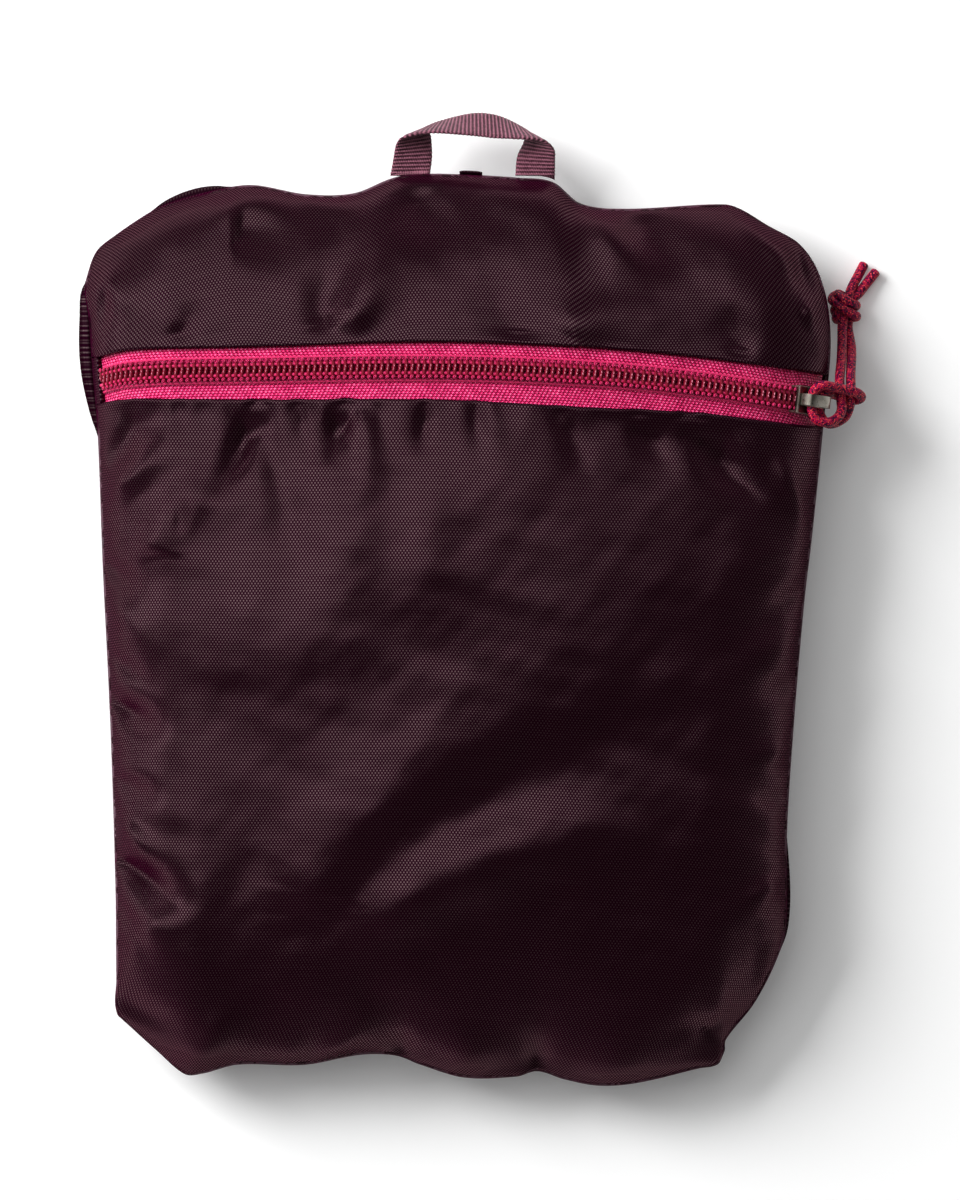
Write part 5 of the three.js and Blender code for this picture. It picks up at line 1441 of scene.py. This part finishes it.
def pull_cord():
    """The doubled cord, hitched on the bridge and knotted, as two halves from the bridge."""
    first = CORD_ROUTE[BRIDGE_POINT::-1] + FIRST_KNOT_STRAND
    second = CORD_ROUTE[BRIDGE_POINT:] + SECOND_KNOT_STRAND
    cord_tube("pull_cord_first", first, ["pull_cord", "pull_cord_knot"])
    cord_tube("pull_cord_second", second, ())


def haul_loop():
    """Grosgrain webbing that stands up from the top seam and turns over on the way."""
    steps = 520
    places = np.linspace(0, 1, steps + 1)
    knots = np.arange(len(LOOP_LINE))

    def column(k):
        values = [row[k] for row in LOOP_LINE]
        return catmull_rom(np.c_[knots, values, np.zeros(len(knots))], places)[:, 1]

    along, rise, lift, turn, lean = [column(k) for k in range(5)]
    angle = np.radians(np.clip(turn, 0, 180))
    sweep = np.sqrt(1 - lean**2)
    across = np.stack([np.cos(angle), lean * np.sin(angle), -sweep * np.sin(angle)], axis=-1)
    middle = np.stack([
        LOOP_LEFT_FOOT + along * LOOP_SPAN, TOP_Y + rise * LOOP_RISE, SEAM_LEVEL + lift * WEBBING_WIDTH,
    ], axis=-1)
    shares = np.linspace(-0.5, 0.5, 15)
    sheet = middle[:, None] + across[:, None] * shares[None, :, None] * WEBBING_WIDTH
    before = np.vstack([sheet[:1, 0] + sheet[:1, -1], sheet[:-1, 0] + sheet[:-1, -1]])
    after = np.vstack([sheet[1:, 0] + sheet[1:, -1], sheet[-1:, 0] + sheet[-1:, -1]])
    normal = unit(np.cross(across, after - before))
    travelled = run_length(middle)
    rib = np.cos(2 * np.pi * travelled * 1000 / RIB_PITCH)[:, None]
    body = WEBBING_THICKNESS / 2 * (0.80 + 0.16 * rib) * (1 - 0.35 * (2 * np.abs(shares[None])) ** 8)
    faces_of = []
    for side in (1, -1):
        layer = sheet + side * normal[:, None] * body[..., None]
        for k in (0, steps):
            layer[k, :, 1] = top_y(layer[k, :, 0]) + GAP * 2.5
        faces_of.append(layer)
    outer = np.swapaxes(faces_of[0], 0, 1)
    inner = np.swapaxes(faces_of[1], 0, 1)
    ring, faces = shell(outer, inner, (0.6, 0.6))
    u = np.repeat(travelled[None] * 1000, len(ring), 0)
    rim = np.array([0.52, 0.53, 0.52])
    down = np.concatenate([shares, rim, shares[::-1], -rim]) * WEBBING_WIDTH * 1000
    uvs = np.stack([u, np.repeat(down[:, None], steps + 1, 1)], axis=-1)
    make_piece("haul_loop_webbing", ring, faces, WEBBING, "webbing", ["haul_loop"], uvs)


def hang_tab():
    """Small folded tab that stands against the back cloth behind the top edge."""
    centre = x_at(0.022)
    levels = np.linspace(0.36, 0.92, 15) * SEAM_LEVEL
    shares = np.linspace(-0.5, 0.5, 15)
    z, s = np.meshgrid(levels, shares, indexing="ij")
    x = centre + s * HANG_TAB_WIDTH
    share = 1 - z / (SEAM_LEVEL - GAP)
    wall = top_y(x, 1) - UNDER_ROLL * (1 - np.sqrt(1 - share**2))
    crown = 1 - 0.4 * (2 * np.abs(s)) ** 4
    outer = np.stack([x, wall + GAP * 1.5 + HANG_TAB_THICKNESS * 0.55 * crown, z], axis=-1)
    inner = np.stack([x, wall + GAP * 1.5, z], axis=-1)
    ring, faces = shell(outer, inner, (0.8, 0.8))
    uvs = ring_uvs(outer, len(ring))
    make_piece("hang_tab_cloth", ring, flipped(faces), BACK_PLUM, "back_cloth", ["hang_tab"], uvs)


def floor():
    """White ground that gives off a little light of its own."""
    n = Nodes("floor_white")
    mottle = n.noise(n.place(), 3.0, 2.0)
    n.set(Base_Color=n.colour(mottle, (0.90, 0.90, 0.90), (0.93, 0.93, 0.93)), Roughness=0.9)
    n.set(Emission_Color=(1, 1, 1, 1), Emission_Strength=0.12)
    mesh = bpy.data.meshes.new("floor")
    reach = 6.0
    level = -0.0004
    corners = [(x * reach, y * reach, level) for x, y in ((-1, -1), (1, -1), (1, 1), (-1, 1))]
    mesh.from_pydata(corners, [], [(0, 1, 2, 3)])
    mesh.materials.append(n.material)
    piece = bpy.data.objects.new("floor", mesh)
    bpy.context.scene.collection.objects.link(piece)


LIT_POINT = (0, 0, 0.02)


def area_light(name, place, size, power, glossy=True):
    data = bpy.data.lights.new(name, "AREA")
    data.shape = "RECTANGLE"
    data.size, data.size_y = size
    data.energy = power
    light = bpy.data.objects.new(name, data)
    light.location = place
    light.rotation_euler = (Vector(LIT_POINT) - Vector(place)).to_track_quat("-Z", "Y").to_euler()
    light.visible_glossy = glossy
    bpy.context.scene.collection.objects.link(light)


def studio_world():
    """Soft surroundings: bright at the horizon and dark overhead."""
    world = bpy.data.worlds.new("studio")
    world.use_nodes = True
    sky = world.node_tree
    direction = sky.nodes.new("ShaderNodeTexCoord").outputs["Generated"]
    split = sky.nodes.new("ShaderNodeSeparateXYZ")
    height = sky.nodes.new("ShaderNodeMapRange")
    sky.links.new(direction, split.inputs[0])
    sky.links.new(split.outputs[2], height.inputs["Value"])
    for name, number in (("From Min", 0.05), ("From Max", 0.90), ("To Min", 0.25), ("To Max", 0.02)):
        height.inputs[name].default_value = number
    background = sky.nodes["Background"]
    sky.links.new(height.outputs[0], background.inputs[1])
    background.inputs[0].default_value = (1, 1, 1, 1)
    bpy.context.scene.world = world


pull_cord()
folded_pack()
front_panels()
back_cloth()
seam_edge()
zipper_tape(1)
zipper_tape(-1)
zipper_coil(1)
zipper_coil(-1)
end_tab()
zipper_slider()
haul_loop()
hang_tab()
floor()

# Lights aim at the middle of the pouch. The key light shapes the cloth without a reflection.
area_light("key_light", (-1.45, 0.97, 1.20), (1.1, 1.1), 60, glossy=False)
area_light("softbox", (-0.96, 0.72, 1.85), (2.5, 2.5), 20)
area_light("softbox_core", (-1.02, 0.60, 1.75), (1.0, 1.0), 2.0)
area_light("side_softbox", (0.42, 0.86, 2.06), (1.5, 1.5), 4.5)
area_light("left_softbox", (-2.0, 0.35, 0.75), (1.1, 0.9), 5)
studio_world()
